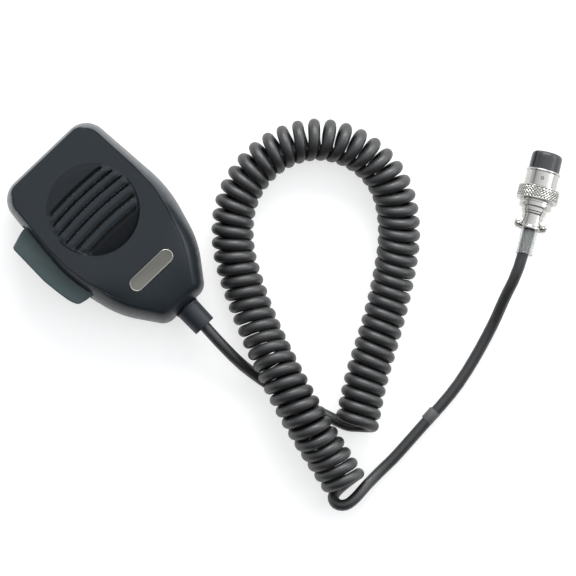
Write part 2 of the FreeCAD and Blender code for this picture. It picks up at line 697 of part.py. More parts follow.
def plug_saddle():
    """The loose half of the cable clamp."""
    shift = Vector(-0.2, 0, 0)
    saddle = half_clamp(1)
    saddle.translate(shift)
    return saddle.cut([plug_post(EAR_LENGTH / 2 - CLAMP_BACK, y, -20, 20, EAR_SCREW_RADIUS + 0.1)
                       for y in (-EAR_SCREW_Y, EAR_SCREW_Y)])


def saddle_screws():
    """Two screws through the clamp's ears."""
    x = EAR_LENGTH / 2 - CLAMP_BACK
    top = EAR_THICK + 0.15
    screws = []
    for y in (-EAR_SCREW_Y, EAR_SCREW_Y):
        head = plug_post(x, y, top, top + 1.1, EAR_SCREW_HEAD)
        slot = block((x - 2, x + 2), (y - 0.25, y + 0.25), (top + 0.6, top + 2))
        screws.append(fuse([plug_post(x, y, -3.0, top + 0.1, EAR_SCREW_RADIUS), head]).cut(slot))
    return screws


def set_screw():
    """The grub screw that holds the insert in the shell."""
    return plug_post(-13.2, 0, INSERT_TAIL_RADIUS + 0.02, SLEEVE_RADIUS - 0.2, 0.78)


def coupling_ring():
    """The ring that screws the plug to a socket."""
    ring = turned(RING_FRONT, RING_BACK, RING_RADIUS)
    ring = ring.makeChamfer(0.5, [e for e in ring.Edges if e.BoundBox.XLength < 0.01])
    bore = turned(RING_FRONT - 1, RING_FLANGE_FRONT, RING_BORE)
    return ring.cut([bore, turned(RING_FRONT, RING_BACK + 1, RING_FLANGE_BORE)])


def ring_washer():
    """The slip ring that travels with the coupling ring but doesn't turn."""
    back = RING_FLANGE_FRONT - 0.05
    inner, outer = WASHER_RADII
    return turned(back - WASHER_THICK, back, outer).cut(turned(back - 2, back + 1, inner))


def clear_sleeve():
    """The clear tubing over the cord behind the clamp."""
    outer = turned(CLAMP_BACK + 0.25, CLEAR_BACK, CLEAR_RADIUS)
    return outer.cut(turned(CLAMP_BACK, CLEAR_BACK + 1, CORD_RADIUS + CORD_FIT))


# ------------------------------------------------------------------ loose cord
def loose_cord():
    """The cord outside the case: lead-in, curl and tail, with the band round the tail."""
    tail_route = TAIL_ROUTE + [tuple(plug_point(JACKET_BEND)), tuple(plug_point(JACKET_FRONT))]
    parts = {}
    for name, route, radius in (
        ("cord_lead", LEAD_ROUTE, CORD_RADIUS),
        ("cord_curl", CURL_ROUTE, CURL_RADIUS),
        ("cord_tail", tail_route, CORD_RADIUS),
    ):
        solid, length, radii = tube(route, radius)
        share = solid.Volume / (math.pi * radius ** 2 * length)
        print(name, "length", round(length, 1), "volume share", round(share, 4),
              "radii", [round(r, 1) for r in radii])
        parts[name] = solid
    start, end = (Vector(*tail_route[i]) for i in (BAND_RUN, BAND_RUN + 1))
    middle = start + (end - start) * BAND_SHARE
    ahead = (end - start).normalize()
    band = Part.makeCylinder(BAND_RADIUS, BAND_LENGTH, middle - ahead * (BAND_LENGTH / 2), ahead)
    parts["tail_band"] = band.cut(parts["cord_tail"])
    return parts


# ------------------------------------------------------------------ assembly
def build():
    """All sub-parts by name: a solid, or a list of solids for a group."""
    front, rear = case_shells()
    parts = {
        "front_shell": front_shell(front),
        "rear_shell": rear_shell(rear),
        "case_screws": case_screws(),
        "name_plate": name_plate(),
        "hang_stud": hang_stud(),
        "stud_screw": stud_screw(),
        "stud_nut": stud_nut(),
        "dust_screen": post(0, 0, CEILING - SCREEN_THICK - 0.03, CEILING - 0.03, BOOT_RADIUS),
        "mic_capsule": capsule(),
        "capsule_boot": capsule_boot(),
        "capsule_leads": capsule_leads(),
        "circuit_board": circuit_board(),
        "board_screws": board_screws(),
        "board_parts": board_parts(),
        "switch_body": switch_body(),
        "switch_plunger": plunger_room(0),
        "ptt_bar": ptt_bar(),
        "pivot_pin": pivot_pin(),
        "return_spring": return_spring(),
        "strain_relief": strain_relief(),
        "cord_inner": cord_inner(),
        "cord_cores": cord_cores(),
        "cord_clamp": cord_clamp(),
        "clamp_screws": clamp_screws(),
    }
    frame = plug_frame()
    plug = {
        "plug_insert": plug_insert(),
        "plug_contacts": plug_contacts(),
        "plug_body": plug_body(),
        "plug_saddle": plug_saddle(),
        "saddle_screws": saddle_screws(),
        "set_screw": set_screw(),
        "coupling_ring": coupling_ring(),
        "ring_washer": ring_washer(),
        "clear_sleeve": clear_sleeve(),
    }
    for name, shape in plug.items():
        shape = Part.makeCompound(shape) if isinstance(shape, list) else shape
        parts[name] = placed(shape, frame)
    parts.update(loose_cord())
    return parts


def placed(shape, frame):
    """A copy of a shape moved by a placement."""
    moved = shape.copy()
    moved.Placement = frame
    return moved


def main():
    """Build, shift to the row's frame and write every sub-part."""
    os.makedirs("parts", exist_ok=True)
    parts = build()
    mic = ("front_shell", "rear_shell", "ptt_bar", "strain_relief")
    own = [parts[name].optimalBoundingBox() for name in mic]
    middle_x = (min(b.XMin for b in own) + max(b.XMax for b in own)) / 2
    middle_y = (min(b.YMin for b in own) + max(b.YMax for b in own)) / 2
    shift = Vector(-middle_x, -middle_y, 0)
    for name, shape in parts.items():
        solid = Part.makeCompound(shape) if isinstance(shape, list) else shape.copy()
        solid.translate(shift)
        solid.exportStep("parts/%s.step" % name)
        print(name, "solids", len(solid.Solids), "valid", solid.isValid(), "volume", round(solid.Volume, 2))
    print("shift", tuple(shift))
    print("pivot", tuple(PIVOT + shift))
    print("switch ratio", (SWITCH_Y - PIVOT.y) / 1000)
    print("plug axis", tuple(plug_point(0) - plug_point(1)))
    print("plug tip", tuple(plug_point(0) + shift))
    print("barrel middle", tuple(plug_point(INSERT_PROUD / 2) + shift))


main()
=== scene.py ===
"""The looks of a hand microphone lying on its back, with its curly cord and screw-ring plug.

Lengths are in millimetres in the microphone's own coordinates: the centre of the grille at
x = y = 0, +Y to the top of the case, +Z up through the grille and the table at z = 0.
at() turns such a point into the frame's metres.
"""
import bmesh
import bpy
import json
import math
from mathutils import Matrix, Vector
from mathutils.geometry import delaunay_2d_cdt


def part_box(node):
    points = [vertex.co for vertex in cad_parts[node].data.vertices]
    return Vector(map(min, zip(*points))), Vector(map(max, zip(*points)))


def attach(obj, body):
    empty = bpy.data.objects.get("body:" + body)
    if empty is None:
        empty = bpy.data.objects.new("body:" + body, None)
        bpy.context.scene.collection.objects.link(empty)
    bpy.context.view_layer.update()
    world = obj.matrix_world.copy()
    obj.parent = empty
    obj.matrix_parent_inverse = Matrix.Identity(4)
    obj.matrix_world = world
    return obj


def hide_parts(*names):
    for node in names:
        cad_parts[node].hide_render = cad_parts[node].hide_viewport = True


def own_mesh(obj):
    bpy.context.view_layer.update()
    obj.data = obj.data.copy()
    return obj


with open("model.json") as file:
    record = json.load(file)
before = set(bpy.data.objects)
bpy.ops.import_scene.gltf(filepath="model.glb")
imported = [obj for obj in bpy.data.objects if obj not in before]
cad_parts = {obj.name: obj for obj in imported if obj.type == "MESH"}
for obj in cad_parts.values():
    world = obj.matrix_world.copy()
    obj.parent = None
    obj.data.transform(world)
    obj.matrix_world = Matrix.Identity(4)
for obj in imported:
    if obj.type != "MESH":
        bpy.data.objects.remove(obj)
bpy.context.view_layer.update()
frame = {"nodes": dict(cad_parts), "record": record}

MM = 0.001
UP = Vector((0, 0, 1))
SHARP_ANGLE = math.radians(38)
KNURL_ANGLE = math.radians(22)

# ---- where the microphone is in the frame ----
PLATE_Y = -37.8
plate_low, plate_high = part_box("name_plate")
MIDDLE = (plate_low + plate_high) / 2
ORIGIN = Vector((MIDDLE.x, MIDDLE.y - PLATE_Y * MM, 0))

# ---- case ----
CASE_CORNERS = [(27.0, 33.4, 10.5), (31.6, -16.0, 60.0), (24.5, -42.5, 45.0), (11.5, -60.5, 7.0)]
Z_SPLIT = 13.2
Z_FACE = 30.0
CEILING = 27.8
OUTLINE_STEPS = 480
END_SAG = 3.2
END_CURL = 3.0
END_PASSES = 14
SIDE_SAG = 2.6
HALF_WIDTHS = [(-60.5, 13.5), (-42.5, 23.0), (-16.0, 29.2), (34.0, 26.5)]
BACK_EDGE = 10.2
BACK_ROUND = 6.0
PAD = (30.0, 26.0, -29.0)
PAD_PROFILE = [(0.0, 4.4), (0.0, 0.9), (0.25, 0.3), (0.9, 0.0)]
CASE_BOSSES = [(20.0, 26.0), (-20.0, 26.0), (14.0, -44.0), (-14.0, -44.0)]
SCREW_RECESS = (2.5, 7.2)
# Along each side, the flank's width in plan down to the groove that edges the face, as (y, width).
FLANK_WIDTHS = [
    (-60.5, 5.6), (-45.0, 6.0), (-30.0, 5.8), (-20.0, 5.2), (-8.0, 4.2), (4.0, 3.3), (30.0, 2.9),
]
FLANK_FOOT = 14.0
FLANK_DRAFT = 0.24
FLANK_STEPS = 16
GROOVE = [(-0.3, 0.0), (-0.14, -0.28), (0.06, -0.3), (0.2, -0.02)]
FACE_ROWS = [0.45, 0.8, 1.2]
WINDOW_Y = (-27.7, 16.3)
WINDOW_Z = (8.9, 24.3)
WINDOW_SIDE = -20.0
WALL = 2.2

# ---- grille ----
GRILLE_RADIUS = 21.0
SLOT_MIDDLES = [-12.3, -6.9, -1.6, 3.3, 7.9, 12.1]
SLOT_WIDTHS = [1.8, 1.6, 1.0, 1.0, 1.1, 1.5]
SLOT_REACH = 20.2
SLOT_BOW = 165.0
RAMP_DEPTH = 2.0
RIB_DOME = 0.5
SLOTS_LOW = SLOT_MIDDLES[0] - SLOT_WIDTHS[0] / 2
SLOTS_HIGH = SLOT_MIDDLES[-1] + SLOT_WIDTHS[-1] / 2
RIBS = [
    (SLOT_MIDDLES[i] + SLOT_WIDTHS[i] / 2, SLOT_MIDDLES[i + 1] - SLOT_WIDTHS[i + 1] / 2)
    for i in range(len(SLOT_MIDDLES) - 1)
]

# ---- badge ----
PLATE_LENGTH = 24.8
PLATE_WIDTH = 7.0
PLATE_GAP = 0.15
RECESS = (PLATE_LENGTH + 2 * PLATE_GAP, PLATE_WIDTH + 2 * PLATE_GAP, PLATE_Y)
BADGE_PROFILE = [
    (0.0, 28.6), (0.0, 29.95), (0.12, 30.15), (0.34, 30.3), (0.5, 30.3), (0.62, 30.22), (0.75, 30.2),
]

# ---- push-to-talk bar ----
BAR_OUTLINE = [
    (-28.9, -27.5), (-34.4, -26.3), (-36.1, -22.5), (-37.3, -15.8), (-38.3, -8.0), (-38.3, 11.6),
    (-37.7, 12.7), (-30.2, 15.1), (-27.6, 15.3), (-24.8, 15.3), (-24.8, -22.0), (-24.4, -27.0),
]
BAR_PROFILE = [
    (0.8, 9.3), (0.35, 9.42), (0.1, 9.75), (0.0, 10.3),
    (0.0, 22.9), (0.1, 23.45), (0.35, 23.78), (0.8, 23.9),
]
BAR_BLOCKS = [
    ((-26.0, 14.0, 10.5), (-24.6, 18.6, 22.7)),
    ((-25.3, 3.5, 10.6), (-20.92, 6.5, 14.2)),
    ((-26.6, -26.4, 9.6), (-22.4, -22.6, 23.6)),
]
SPRING_START = (-24.4, 15.0, 12.2)
SPRING_LENGTH = 5.4
SPRING_TURNS = 5
SPRING_RADIUS = 1.9
SPRING_WIRE = 0.25

# ---- cord ----
CORD_RADIUS = 2.6
COIL_RADIUS = 7.05
COIL_TURNS = 60.125
COIL_START = 90.0
POINTS_PER_TURN = 16
TURN_LEAN = 2.1
LEAD_ROUTE = [
    (0.0, -70.5, 13.2), (-0.7, -89.8, 13.2), (1.0, -104.8, 2.65), (5.0, -120.7, 2.65),
    (10.0, -134.7, 2.65), (13.2, -143.6, 2.7), (15.4, -149.4, 2.8),
]
CURL_ROUTE = [
    (18.2, -152.2, 10.2), (33.0, -141.2, 10.1), (53.4, -130.0, 9.8), (74.9, -116.8, 9.7),
    (94.6, -101.5, 9.7), (106.4, -82.0, 9.7), (105.2, -60.7, 9.7), (92.9, -43.1, 9.7),
    (72.3, -35.5, 9.7), (50.6, -39.4, 9.7), (34.0, -53.8, 9.7), (23.8, -73.3, 9.7),
    (15.5, -93.6, 12.4), (8.9, -114.0, 17.6), (2.9, -135.8, 17.6), (-0.9, -155.2, 11.6),
    (-3.7, -168.8, 10.4),
]
TAIL_ROUTE = [
    (-12.0, -168.0, 7.6), (-12.8, -171.8, 9.2), (-9.6, -175.0, 10.0), (-3.6, -175.3, 8.8),
    (2.2, -174.6, 6.4), (8.2, -174.4, 4.3), (14.2, -174.3, 3.1), (20.6, -174.4, 2.9),
    (40.6, -172.6, 2.9), (61.2, -171.2, 2.9), (79.5, -166.6, 2.65), (96.4, -160.9, 4.4),
    (106.4, -156.4, 9.6),
]
JACKET_BEND = 54.0
JACKET_FRONT = 33.0

# ---- the tape on the tail, as (distance along it, radius) ----
BAND_PROFILE = [
    (-3.0, 2.62), (-3.0, 2.8), (-2.85, 2.86), (0.0, 2.86), (2.85, 2.86), (3.0, 2.8), (3.0, 2.62),
]

# ---- strain relief, as (distance towards the cord, radius) ----
RELIEF_PROFILE = [
    (55.0, 5.2), (56.9, 5.2), (56.9, 4.6), (60.3, 4.6), (60.3, 5.9), (61.3, 5.9), (61.5, 5.65),
    (72.5, 5.4), (72.5, 2.9), (70.0, 2.7),
]

# ---- plug: distances are measured back from its tip along its axis; profiles are (distance, radius) ----
PLUG_TIP = (166.6, -122.3)
PLUG_TURN = 32.5
PLUG_SETBACK = 0.8
RING_RADIUS = 9.5
INSERT_RADIUS = 7.0
RING_FRONT = 16.9
NOSE_PROFILE = [
    (1.6, 4.9), (0.75, 5.0), (0.62, 5.2), (0.72, 5.7), (1.0, 6.25), (1.45, 6.65), (2.1, 6.9),
    (3.0, 7.0), (9.05, 7.0),
]
KEYWAY_TURN = 52.0
KEYWAY_WIDTH = 1.7
KEYWAY_DEPTH = 1.1
CONTACT_CIRCLE = 3.2
CONTACT_HOLE = 0.95
CONTACT_BORE = 6.0
CONTACTS = [
    (CONTACT_CIRCLE * math.cos(math.radians(turn)), CONTACT_CIRCLE * math.sin(math.radians(turn)))
    for turn in (45, 135, 225, 315)
]
CONTACT_PROFILE = [
    (2.2, 0.5), (2.0, 0.6), (2.0, 0.8), (2.15, 0.88), (14.0, 0.88), (14.0, 0.5), (2.2, 0.5),
]
KNURLS = 38
KNURL_PITCH = 1.4
KNURL_DEPTH = 0.42
KNURL_ROWS = 34
KNURL_FRONT = 17.55
KNURL_BACK = 22.6
KNURL_EDGE = 9.38
RING_INNER = [
    (21.75, 7.5), (21.75, 8.0), (17.1, 8.0), (16.9, 8.25), (16.9, 9.0), (17.2, 9.32), (17.55, 9.38),
]
RING_OUTER = [(22.6, 9.38), (22.9, 9.32), (23.2, 9.0), (23.2, 7.7), (23.05, 7.5), (21.75, 7.5)]
LIP = [(12.5, 6.1), (9.6, 6.1), (9.0, 6.9), (9.0, 7.35), (9.15, 7.8), (9.6, 7.9), (10.05, 7.8)]
SLEEVE = [(10.2, 7.4), (24.0, 7.4)]
COLLAR = [(24.0, 7.15), (24.25, 7.15), (24.25, 7.35), (26.1, 7.35), (26.4, 7.0), (26.4, 5.6)]
NECK = [(26.4, 5.6), (28.2, 5.6), (28.4, 5.2), (29.2, 5.2), (29.3, 4.4)]
CLAMP_BACK = 36.4
CLAMP_PROFILE = [(29.2, 5.0), (29.6, 4.75), (34.9, 4.75), (35.3, 5.3), (36.4, 5.3), (36.4, 2.75)]
TUBE_PROFILE = [
    (36.75, 3.1), (36.75, 3.55), (36.9, 3.7), (47.3, 3.7), (47.5, 3.8), (47.8, 3.72), (47.8, 3.15),
    (47.6, 3.02), (36.9, 3.02), (36.75, 3.1),
]
WASHER_PROFILE = [(20.9, 7.46), (20.9, 7.94), (21.7, 7.94), (21.7, 7.46), (20.9, 7.46)]
# The screws' heads, as (radius, height over the plug's axis).
SCREW_DOME = [
    (1.5, 2.3), (1.5, 2.75), (1.42, 3.0), (1.2, 3.22), (0.85, 3.37), (0.55, 3.43), (0.5, 3.1), (0.3, 3.0),
]
GRUB_HEAD = [(0.78, 6.6), (0.78, 7.42), (0.66, 7.46), (0.45, 7.46), (0.42, 6.9), (0.2, 6.85)]
GRUB_BACK = 13.2
EAR_LENGTH = 4.2
EAR_MIDDLE = 5.8
EAR_ROOT = 3.6
EAR_CENTRE = 5.4
PLUG_DIP = math.atan((RING_RADIUS - INSERT_RADIUS) / RING_FRONT)
PLUG_TIP_Z = INSERT_RADIUS * math.cos(PLUG_DIP) + 0.05

# ---- view and light ----
VIEW_RIGHT = (0.723, -0.691, 0)
VIEW_TOP = (0.691, 0.723, 0)
VIEW_CENTRE = (38.9, -85.9)
VIEW_HEIGHT = 6000
LENS = 831.7
TABLE_REACH = 3.0
ROOM_LEVEL = 1.7
# The room's brightness across the view, as (sine of the angle to the right, share).
ROOM_ACROSS = [
    (-1.0, 0.6), (-0.82, 0.45), (-0.74, 0.08), (-0.64, 0.45), (-0.3, 0.6), (0.15, 0.75), (0.84, 1.0),
    (0.93, 0.15), (1.0, 0.7),
]


# ------------------------------------------------------------------ places
def at(x, y, z):
    """A point of the microphone in the frame, in metres."""
    return Vector((x, y, z)) * MM + ORIGIN


def plug_matrix():
    """Moves plug-local millimetres, tip at the origin and +X forwards, to frame metres."""
    turn = Matrix.Rotation(math.radians(PLUG_TURN), 4, "Z")
    dip = Matrix.Rotation(PLUG_DIP, 4, "Y")
    place = Matrix.Translation(at(*PLUG_TIP, PLUG_TIP_Z))
    return place @ turn @ dip @ Matrix.Scale(MM, 4) @ Matrix.Translation((-PLUG_SETBACK, 0, 0))


def plug_point(back):
    """The point on the plug's axis that is this far behind its tip, in frame metres."""
    return plug_matrix() @ Vector((-back, 0, 0))


def smooth(share):
    """Eases from 0 to 1."""
    share = min(1.0, max(0.0, share))
    return share * share * (3 - 2 * share)


def between(table, place):
    """The value at a place, eased between the rows of a (place, value) table."""
    for (low, start), (high, end) in zip(table, table[1:]):
        if place <= high:
            return start + (end - start) * smooth((place - low) / (high - low))
    return table[-1][1]


# ------------------------------------------------------------------ cord
def nurbs(name, points):
    """An object with one open NURBS spline that has frame points as its control points."""
    curve = bpy.data.curves.new(name, "CURVE")
    curve.dimensions = "3D"
    spline = curve.splines.new("NURBS")
    spline.points.add(len(points) - 1)
    for point, place in zip(spline.points, points):
        point.co = (*place, 1.0)
    spline.order_u = 3
    spline.use_endpoint_u = True
    obj = bpy.data.objects.new(name, curve)
    bpy.context.collection.objects.link(obj)
    return obj


def route_line(points):
    """Close points along the spline of a route."""
    guide = nurbs("guide", points)
    guide.data.resolution_u = 40
    mesh = bpy.data.meshes.new_from_object(guide)
    line = [vertex.co.copy() for vertex in mesh.vertices]
    bpy.data.objects.remove(guide)
    bpy.data.meshes.remove(mesh)
    return line


def spacing(share):
    """How far apart the turns are, relative to the first ones, along the curl."""
    return 1.0 + 0.13 * smooth((share - 0.27) / 0.1) - 0.09 * smooth((share - 0.52) / 0.12)


def lean(share):
    """How far the turns lean in the curl's top bend: their lower halves forwards, in metres."""
    return TURN_LEAN * MM * smooth((share - 0.15) / 0.12) * (1 - smooth((share - 0.4) / 0.15))


def turn_radius(share):
    """The turns' radius along the curl: a little wider at both ends."""
    return COIL_RADIUS * MM * (1 + 0.06 * (1 - smooth(share / 0.2)) + 0.08 * smooth((share - 0.74) / 0.14))


def helix_points():
    """The curl: a left-handed helix round the curl's route."""
    line = route_line([at(*point) for point in CURL_ROUTE])
    reach = [0.0]
    for before, after in zip(line, line[1:]):
        reach.append(reach[-1] + (after - before).length)
    total = reach[-1]
    turned = [0.0]
    for i in range(1, len(line)):
        step = (reach[i] - reach[i - 1]) / spacing((reach[i] + reach[i - 1]) / 2 / total)
        turned.append(turned[-1] + step)
    points = []
    steps = int(COIL_TURNS * POINTS_PER_TURN)
    widen = 1 / math.cos(math.pi / POINTS_PER_TURN) ** 0.75
    k = 0
    for i in range(steps + 1):
        goal = turned[-1] * i / steps
        while k < len(line) - 2 and turned[k + 1] < goal:
            k += 1
        share = (goal - turned[k]) / (turned[k + 1] - turned[k])
        centre = line[k].lerp(line[k + 1], share)
        ahead = (line[min(k + 8, len(line) - 1)] - line[max(k - 7, 0)]).normalized()
        left = UP.cross(ahead).normalized()
        over = ahead.cross(left)
        angle = math.radians(COIL_START) + 2 * math.pi * COIL_TURNS * i / steps
        centre += ahead * lean(i / steps) * math.sin(angle)
        radius = turn_radius(i / steps) * widen
        points.append(centre + radius * (math.cos(angle) * left - math.sin(angle) * over))
    return points


def make_cord(material, pieces):
    """The whole cord in one spline, from the strain relief through the curl to the plug."""
    points = [at(*point) for point in LEAD_ROUTE] + helix_points() + [at(*point) for point in TAIL_ROUTE]
    points += [plug_point(JACKET_BEND), plug_point(JACKET_FRONT)]
    cord = nurbs("curly_cord", points)
    cord.data.resolution_u = 3
    cord.data.bevel_depth = CORD_RADIUS * MM
    cord.data.bevel_resolution = 5
    cord.data.use_fill_caps = True
    cord.data.materials.append(material)
    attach(cord, "head")
    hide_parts("cord_lead", "cord_curl", "cord_tail")
    return cord


# ------------------------------------------------------------------ mesh helpers
def piece(name, bm, finishes, body, slot, *nodes):
    """A mesh object that rides on a body and stands for CAD nodes."""
    mesh = bpy.data.meshes.new(name)
    bmesh.ops.recalc_face_normals(bm, faces=bm.faces)
    bm.to_mesh(mesh)
    bm.free()
    for polygon in mesh.polygons:
        polygon.use_smooth = True
    mesh.set_sharp_from_angle(angle=SHARP_ANGLE)
    obj = bpy.data.objects.new(name, mesh)
    bpy.context.collection.objects.link(obj)
    for material in finishes:
        mesh.materials.append(material)
    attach(obj, body)
    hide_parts(*nodes)
    return obj


def strip(bm, rings):
    """Faces between each two neighbours of a list of closed rings of vertices."""
    faces = []
    for first, second in zip(rings, rings[1:]):
        for i in range(len(first)):
            j = (i + 1) % len(first)
            faces.append(bm.faces.new((first[i], first[j], second[j], second[i])))
    return faces


def circle(steps):
    """Evenly spaced points of a circle of radius 1."""
    turns = [2 * math.pi * i / steps for i in range(steps)]
    return [(math.cos(turn), math.sin(turn)) for turn in turns]


def net_over(loops, points=()):
    """A flat net inside closed loops: its places, and each of its cells with the cell's centre."""
    flat, edges = [], []
    for loop in loops:
        first = len(flat)
        flat += loop
        edges += [(first + i, first + (i + 1) % len(loop)) for i in range(len(loop))]
    flat += points
    net = delaunay_2d_cdt([Vector(place) for place in flat], edges, [], 1, 1e-5)
    places = [(place.x, place.y) for place in net[0]]
    cells = []
    for corners in net[2]:
        centre = [sum(places[i][k] for i in corners) / len(corners) for k in range(2)]
        cells.append((corners, centre))
    return places, cells


def lathe(bm, profile, steps):
    """A surface turned round the plug's X axis from (distance behind the tip, radius) points."""
    rings = []
    for back, radius in profile:
        rings.append([bm.verts.new((-back, radius * y, radius * z)) for y, z in circle(steps)])
    strip(bm, rings)


def rounded(profile, radius, cuts=4):
    """A profile with its inner corners rounded off."""
    points = [Vector(p) for p in profile]
    out = [points[0]]
    for before, here, after in zip(points, points[1:], points[2:]):
        back, ahead = before - here, after - here
        reach = min(radius, back.length * 0.45, ahead.length * 0.45)
        start, end = here + back.normalized() * reach, here + ahead.normalized() * reach
        for i in range(cuts + 1):
            t = i / cuts
            out.append(start * (1 - t) ** 2 + here * 2 * t * (1 - t) + end * t ** 2)
    out.append(points[-1])
    return [tuple(p) for p in out]


def case_piece(name, bm, finishes, slot, node, body="head"):
    """A piece made in the microphone's millimetres."""
    bmesh.ops.transform(bm, matrix=Matrix.Translation(ORIGIN) @ Matrix.Scale(MM, 4), verts=bm.verts)
    return piece(name, bm, finishes, body, slot, node)


def plug_piece(name, bm, finish, slot, node, body="head"):
    """A piece made in the plug's own millimetres."""
    bmesh.ops.transform(bm, matrix=plug_matrix(), verts=bm.verts)
    return piece(name, bm, [finish], body, slot, node)


# ------------------------------------------------------------------ case
def arc_points(corner, before, after, radius, step):
    """Points along the arc that rounds a corner, and the outward directions at them."""
    here = Vector(corner)
    back, ahead = (Vector(before) - here).normalized(), (Vector(after) - here).normalized()
    half = back.angle(ahead) / 2
    middle = (back + ahead).normalized()
    centre = here + middle * (radius / math.sin(half))
    start = here + back * (radius / math.tan(half)) - centre
    sweep = math.pi - 2 * half
    side = 1 if back.x * ahead.y - back.y * ahead.x < 0 else -1
    count = max(3, int(radius * sweep / step))
    points = []
    for i in range(count + 1):
        turn = side * sweep * i / count
        spoke = Vector((start.x * math.cos(turn) - start.y * math.sin(turn),
                        start.x * math.sin(turn) + start.y * math.cos(turn)))
        points.append((centre + spoke, spoke.normalized()))
    return points


def case_outline():
    """Evenly spaced points of the case's outline with their outward directions."""
    corners = CASE_CORNERS + [(-x, y, radius) for x, y, radius in reversed(CASE_CORNERS)]
    dense = []
    for i, (x, y, radius) in enumerate(corners):
        before, after = corners[i - 1][:2], corners[(i + 1) % len(corners)][:2]
        dense += arc_points((x, y), before, after, radius, 0.2)
    dense.append(dense[0])
    reach = [0.0]
    for (before, _), (after, _) in zip(dense, dense[1:]):
        reach.append(reach[-1] + (after - before).length)
    even = []
    k = 0
    for i in range(OUTLINE_STEPS):
        goal = reach[-1] * i / OUTLINE_STEPS
        while reach[k + 1] < goal:
            k += 1
        share = (goal - reach[k]) / max(1e-9, reach[k + 1] - reach[k])
        point = dense[k][0].lerp(dense[k + 1][0], share)
        even.append((point, dense[k][1].lerp(dense[k + 1][1], share).normalized()))
    return even


def face_height(x, y):
    """The front face: flat at the top, and falling away towards the cord and to the sides near it."""
    share = max(0.0, (-y - 24.0) / 36.5)
    side = min(1.0, abs(x) / between(HALF_WIDTHS, y)) ** 4 * smooth((-y - 18.0) / 24.0)
    return Z_FACE - END_SAG * share ** 2 - END_CURL * share ** 5 - SIDE_SAG * side


def slot_line(x):
    """How far a slot's middle has dropped at this distance from the grille's centre line."""
    return x * x / (2 * SLOT_BOW)


def rib_rise(across):
    """The domed ribs between the slots, from each slot's edge to the middle of the rib."""
    for low, high in RIBS:
        if low <= across <= high:
            share = (2 * across - low - high) / (high - low)
            return RIB_DOME * (1 - share ** 2)
    edge = min(abs(SLOTS_LOW - across), abs(across - SLOTS_HIGH))
    return 0.2 * smooth(edge / 0.5)


def grille_height(x, y):
    """The grille: a ramp that starts level at the top and is deepest at the bottom, with its ribs."""
    radius = math.hypot(x, y)
    if radius >= GRILLE_RADIUS:
        return face_height(x, y)
    share = (GRILLE_RADIUS - y) / (2 * GRILLE_RADIUS)
    rim = 0.5 + 7.0 * smooth((y / GRILLE_RADIUS + 0.75) / 1.2)
    inside = smooth((GRILLE_RADIUS - radius) / rim)
    steep = max(0.0, (-y - 11.0) / 10.0)
    depth = 0.6 * share ** 1.5 + (RAMP_DEPTH - 0.6) * steep ** 1.2
    rise = rib_rise(y + slot_line(x)) * smooth((GRILLE_RADIUS - radius) / 3.0)
    return face_height(x, y) - depth * inside + rise


def slot_loop(middle, width):
    """One slot's edge: two bowed lines with round ends."""
    half_width = width / 2
    reach = math.sqrt(SLOT_REACH ** 2 - middle ** 2) - half_width
    count = int(2 * reach / 0.5)
    low, high = [], []
    for i in range(count + 1):
        x = reach * (2 * i / count - 1)
        low.append((x, middle - slot_line(x) - half_width))
        high.append((x, middle - slot_line(x) + half_width))
    drop = slot_line(reach)
    ends = []
    for i in range(1, 6):
        turn = math.pi * i / 6
        ends.append((reach + half_width * math.sin(turn), middle - drop - half_width * math.cos(turn)))
    other = [(-x, 2 * (middle - drop) - y) for x, y in ends]
    return low + ends + high[::-1] + other


def inside_slot(x, y, margin):
    """Whether a point of the face is in a slot, or nearer to one than the margin."""
    for middle, width in zip(SLOT_MIDDLES, SLOT_WIDTHS):
        reach = math.sqrt(SLOT_REACH ** 2 - middle ** 2) - width / 2
        beyond = max(0.0, abs(x) - reach)
        across = y + slot_line(min(abs(x), reach)) - middle
        if math.hypot(beyond, across) < width / 2 + margin:
            return True
    return False


def stadium_loop(length, width, y, step=0.35):
    """The edge of a bar with round ends."""
    reach, radius = (length - width) / 2, width / 2
    count = int(math.pi * radius / step)
    loop = []
    for side in (1, -1):
        for i in range(count + 1):
            turn = math.pi * i / count - math.pi / 2
            loop.append((side * (reach + radius * math.cos(turn)), y + side * radius * math.sin(turn)))
        for i in range(1, int(2 * reach / step)):
            x = reach - i * step
            loop.append((side * x, y + side * radius))
    return loop


def inside_stadium(x, y, length, width, centre_y, margin):
    """Whether a point is in the badge's recess, or nearer to it than the margin."""
    beyond = max(0.0, abs(x) - (length - width) / 2)
    return math.hypot(beyond, y - centre_y) < width / 2 + margin


def grille_points():
    """Points over the grille: rows along the ribs and rings by the rim."""
    points = []
    rows = []
    for low, high in RIBS:
        rows += [low + (high - low) * share for share in (0.06, 0.16, 0.3, 0.43, 0.57, 0.7, 0.84, 0.94)]
    for gap in (0.15, 0.4, 0.8, 1.4, 2.1, 2.8, 3.5, 4.2, 4.9, 5.6, 6.3, 7.0, 7.7):
        rows += [SLOTS_LOW - gap, SLOTS_HIGH + gap]
    for row in rows:
        reach = math.sqrt(max(0.0, (GRILLE_RADIUS - 1.5) ** 2 - row ** 2))
        count = max(2, int(2 * reach / 0.6))
        for i in range(count + 1):
            x = reach * (2 * i / count - 1)
            points.append((x, row - slot_line(x)))
    for inset in (-0.6, -0.25, 0.0, 0.1, 0.2, 0.35, 0.55, 0.9, 1.3):
        radius = GRILLE_RADIUS - inset
        points += [(radius * x, radius * y) for x, y in circle(260)]
    kept = []
    for x, y in points:
        near_centre = math.hypot(x, y) < GRILLE_RADIUS + 0.7
        if near_centre and not inside_slot(x, y, 0.07):
            kept.append((x, y))
    return kept


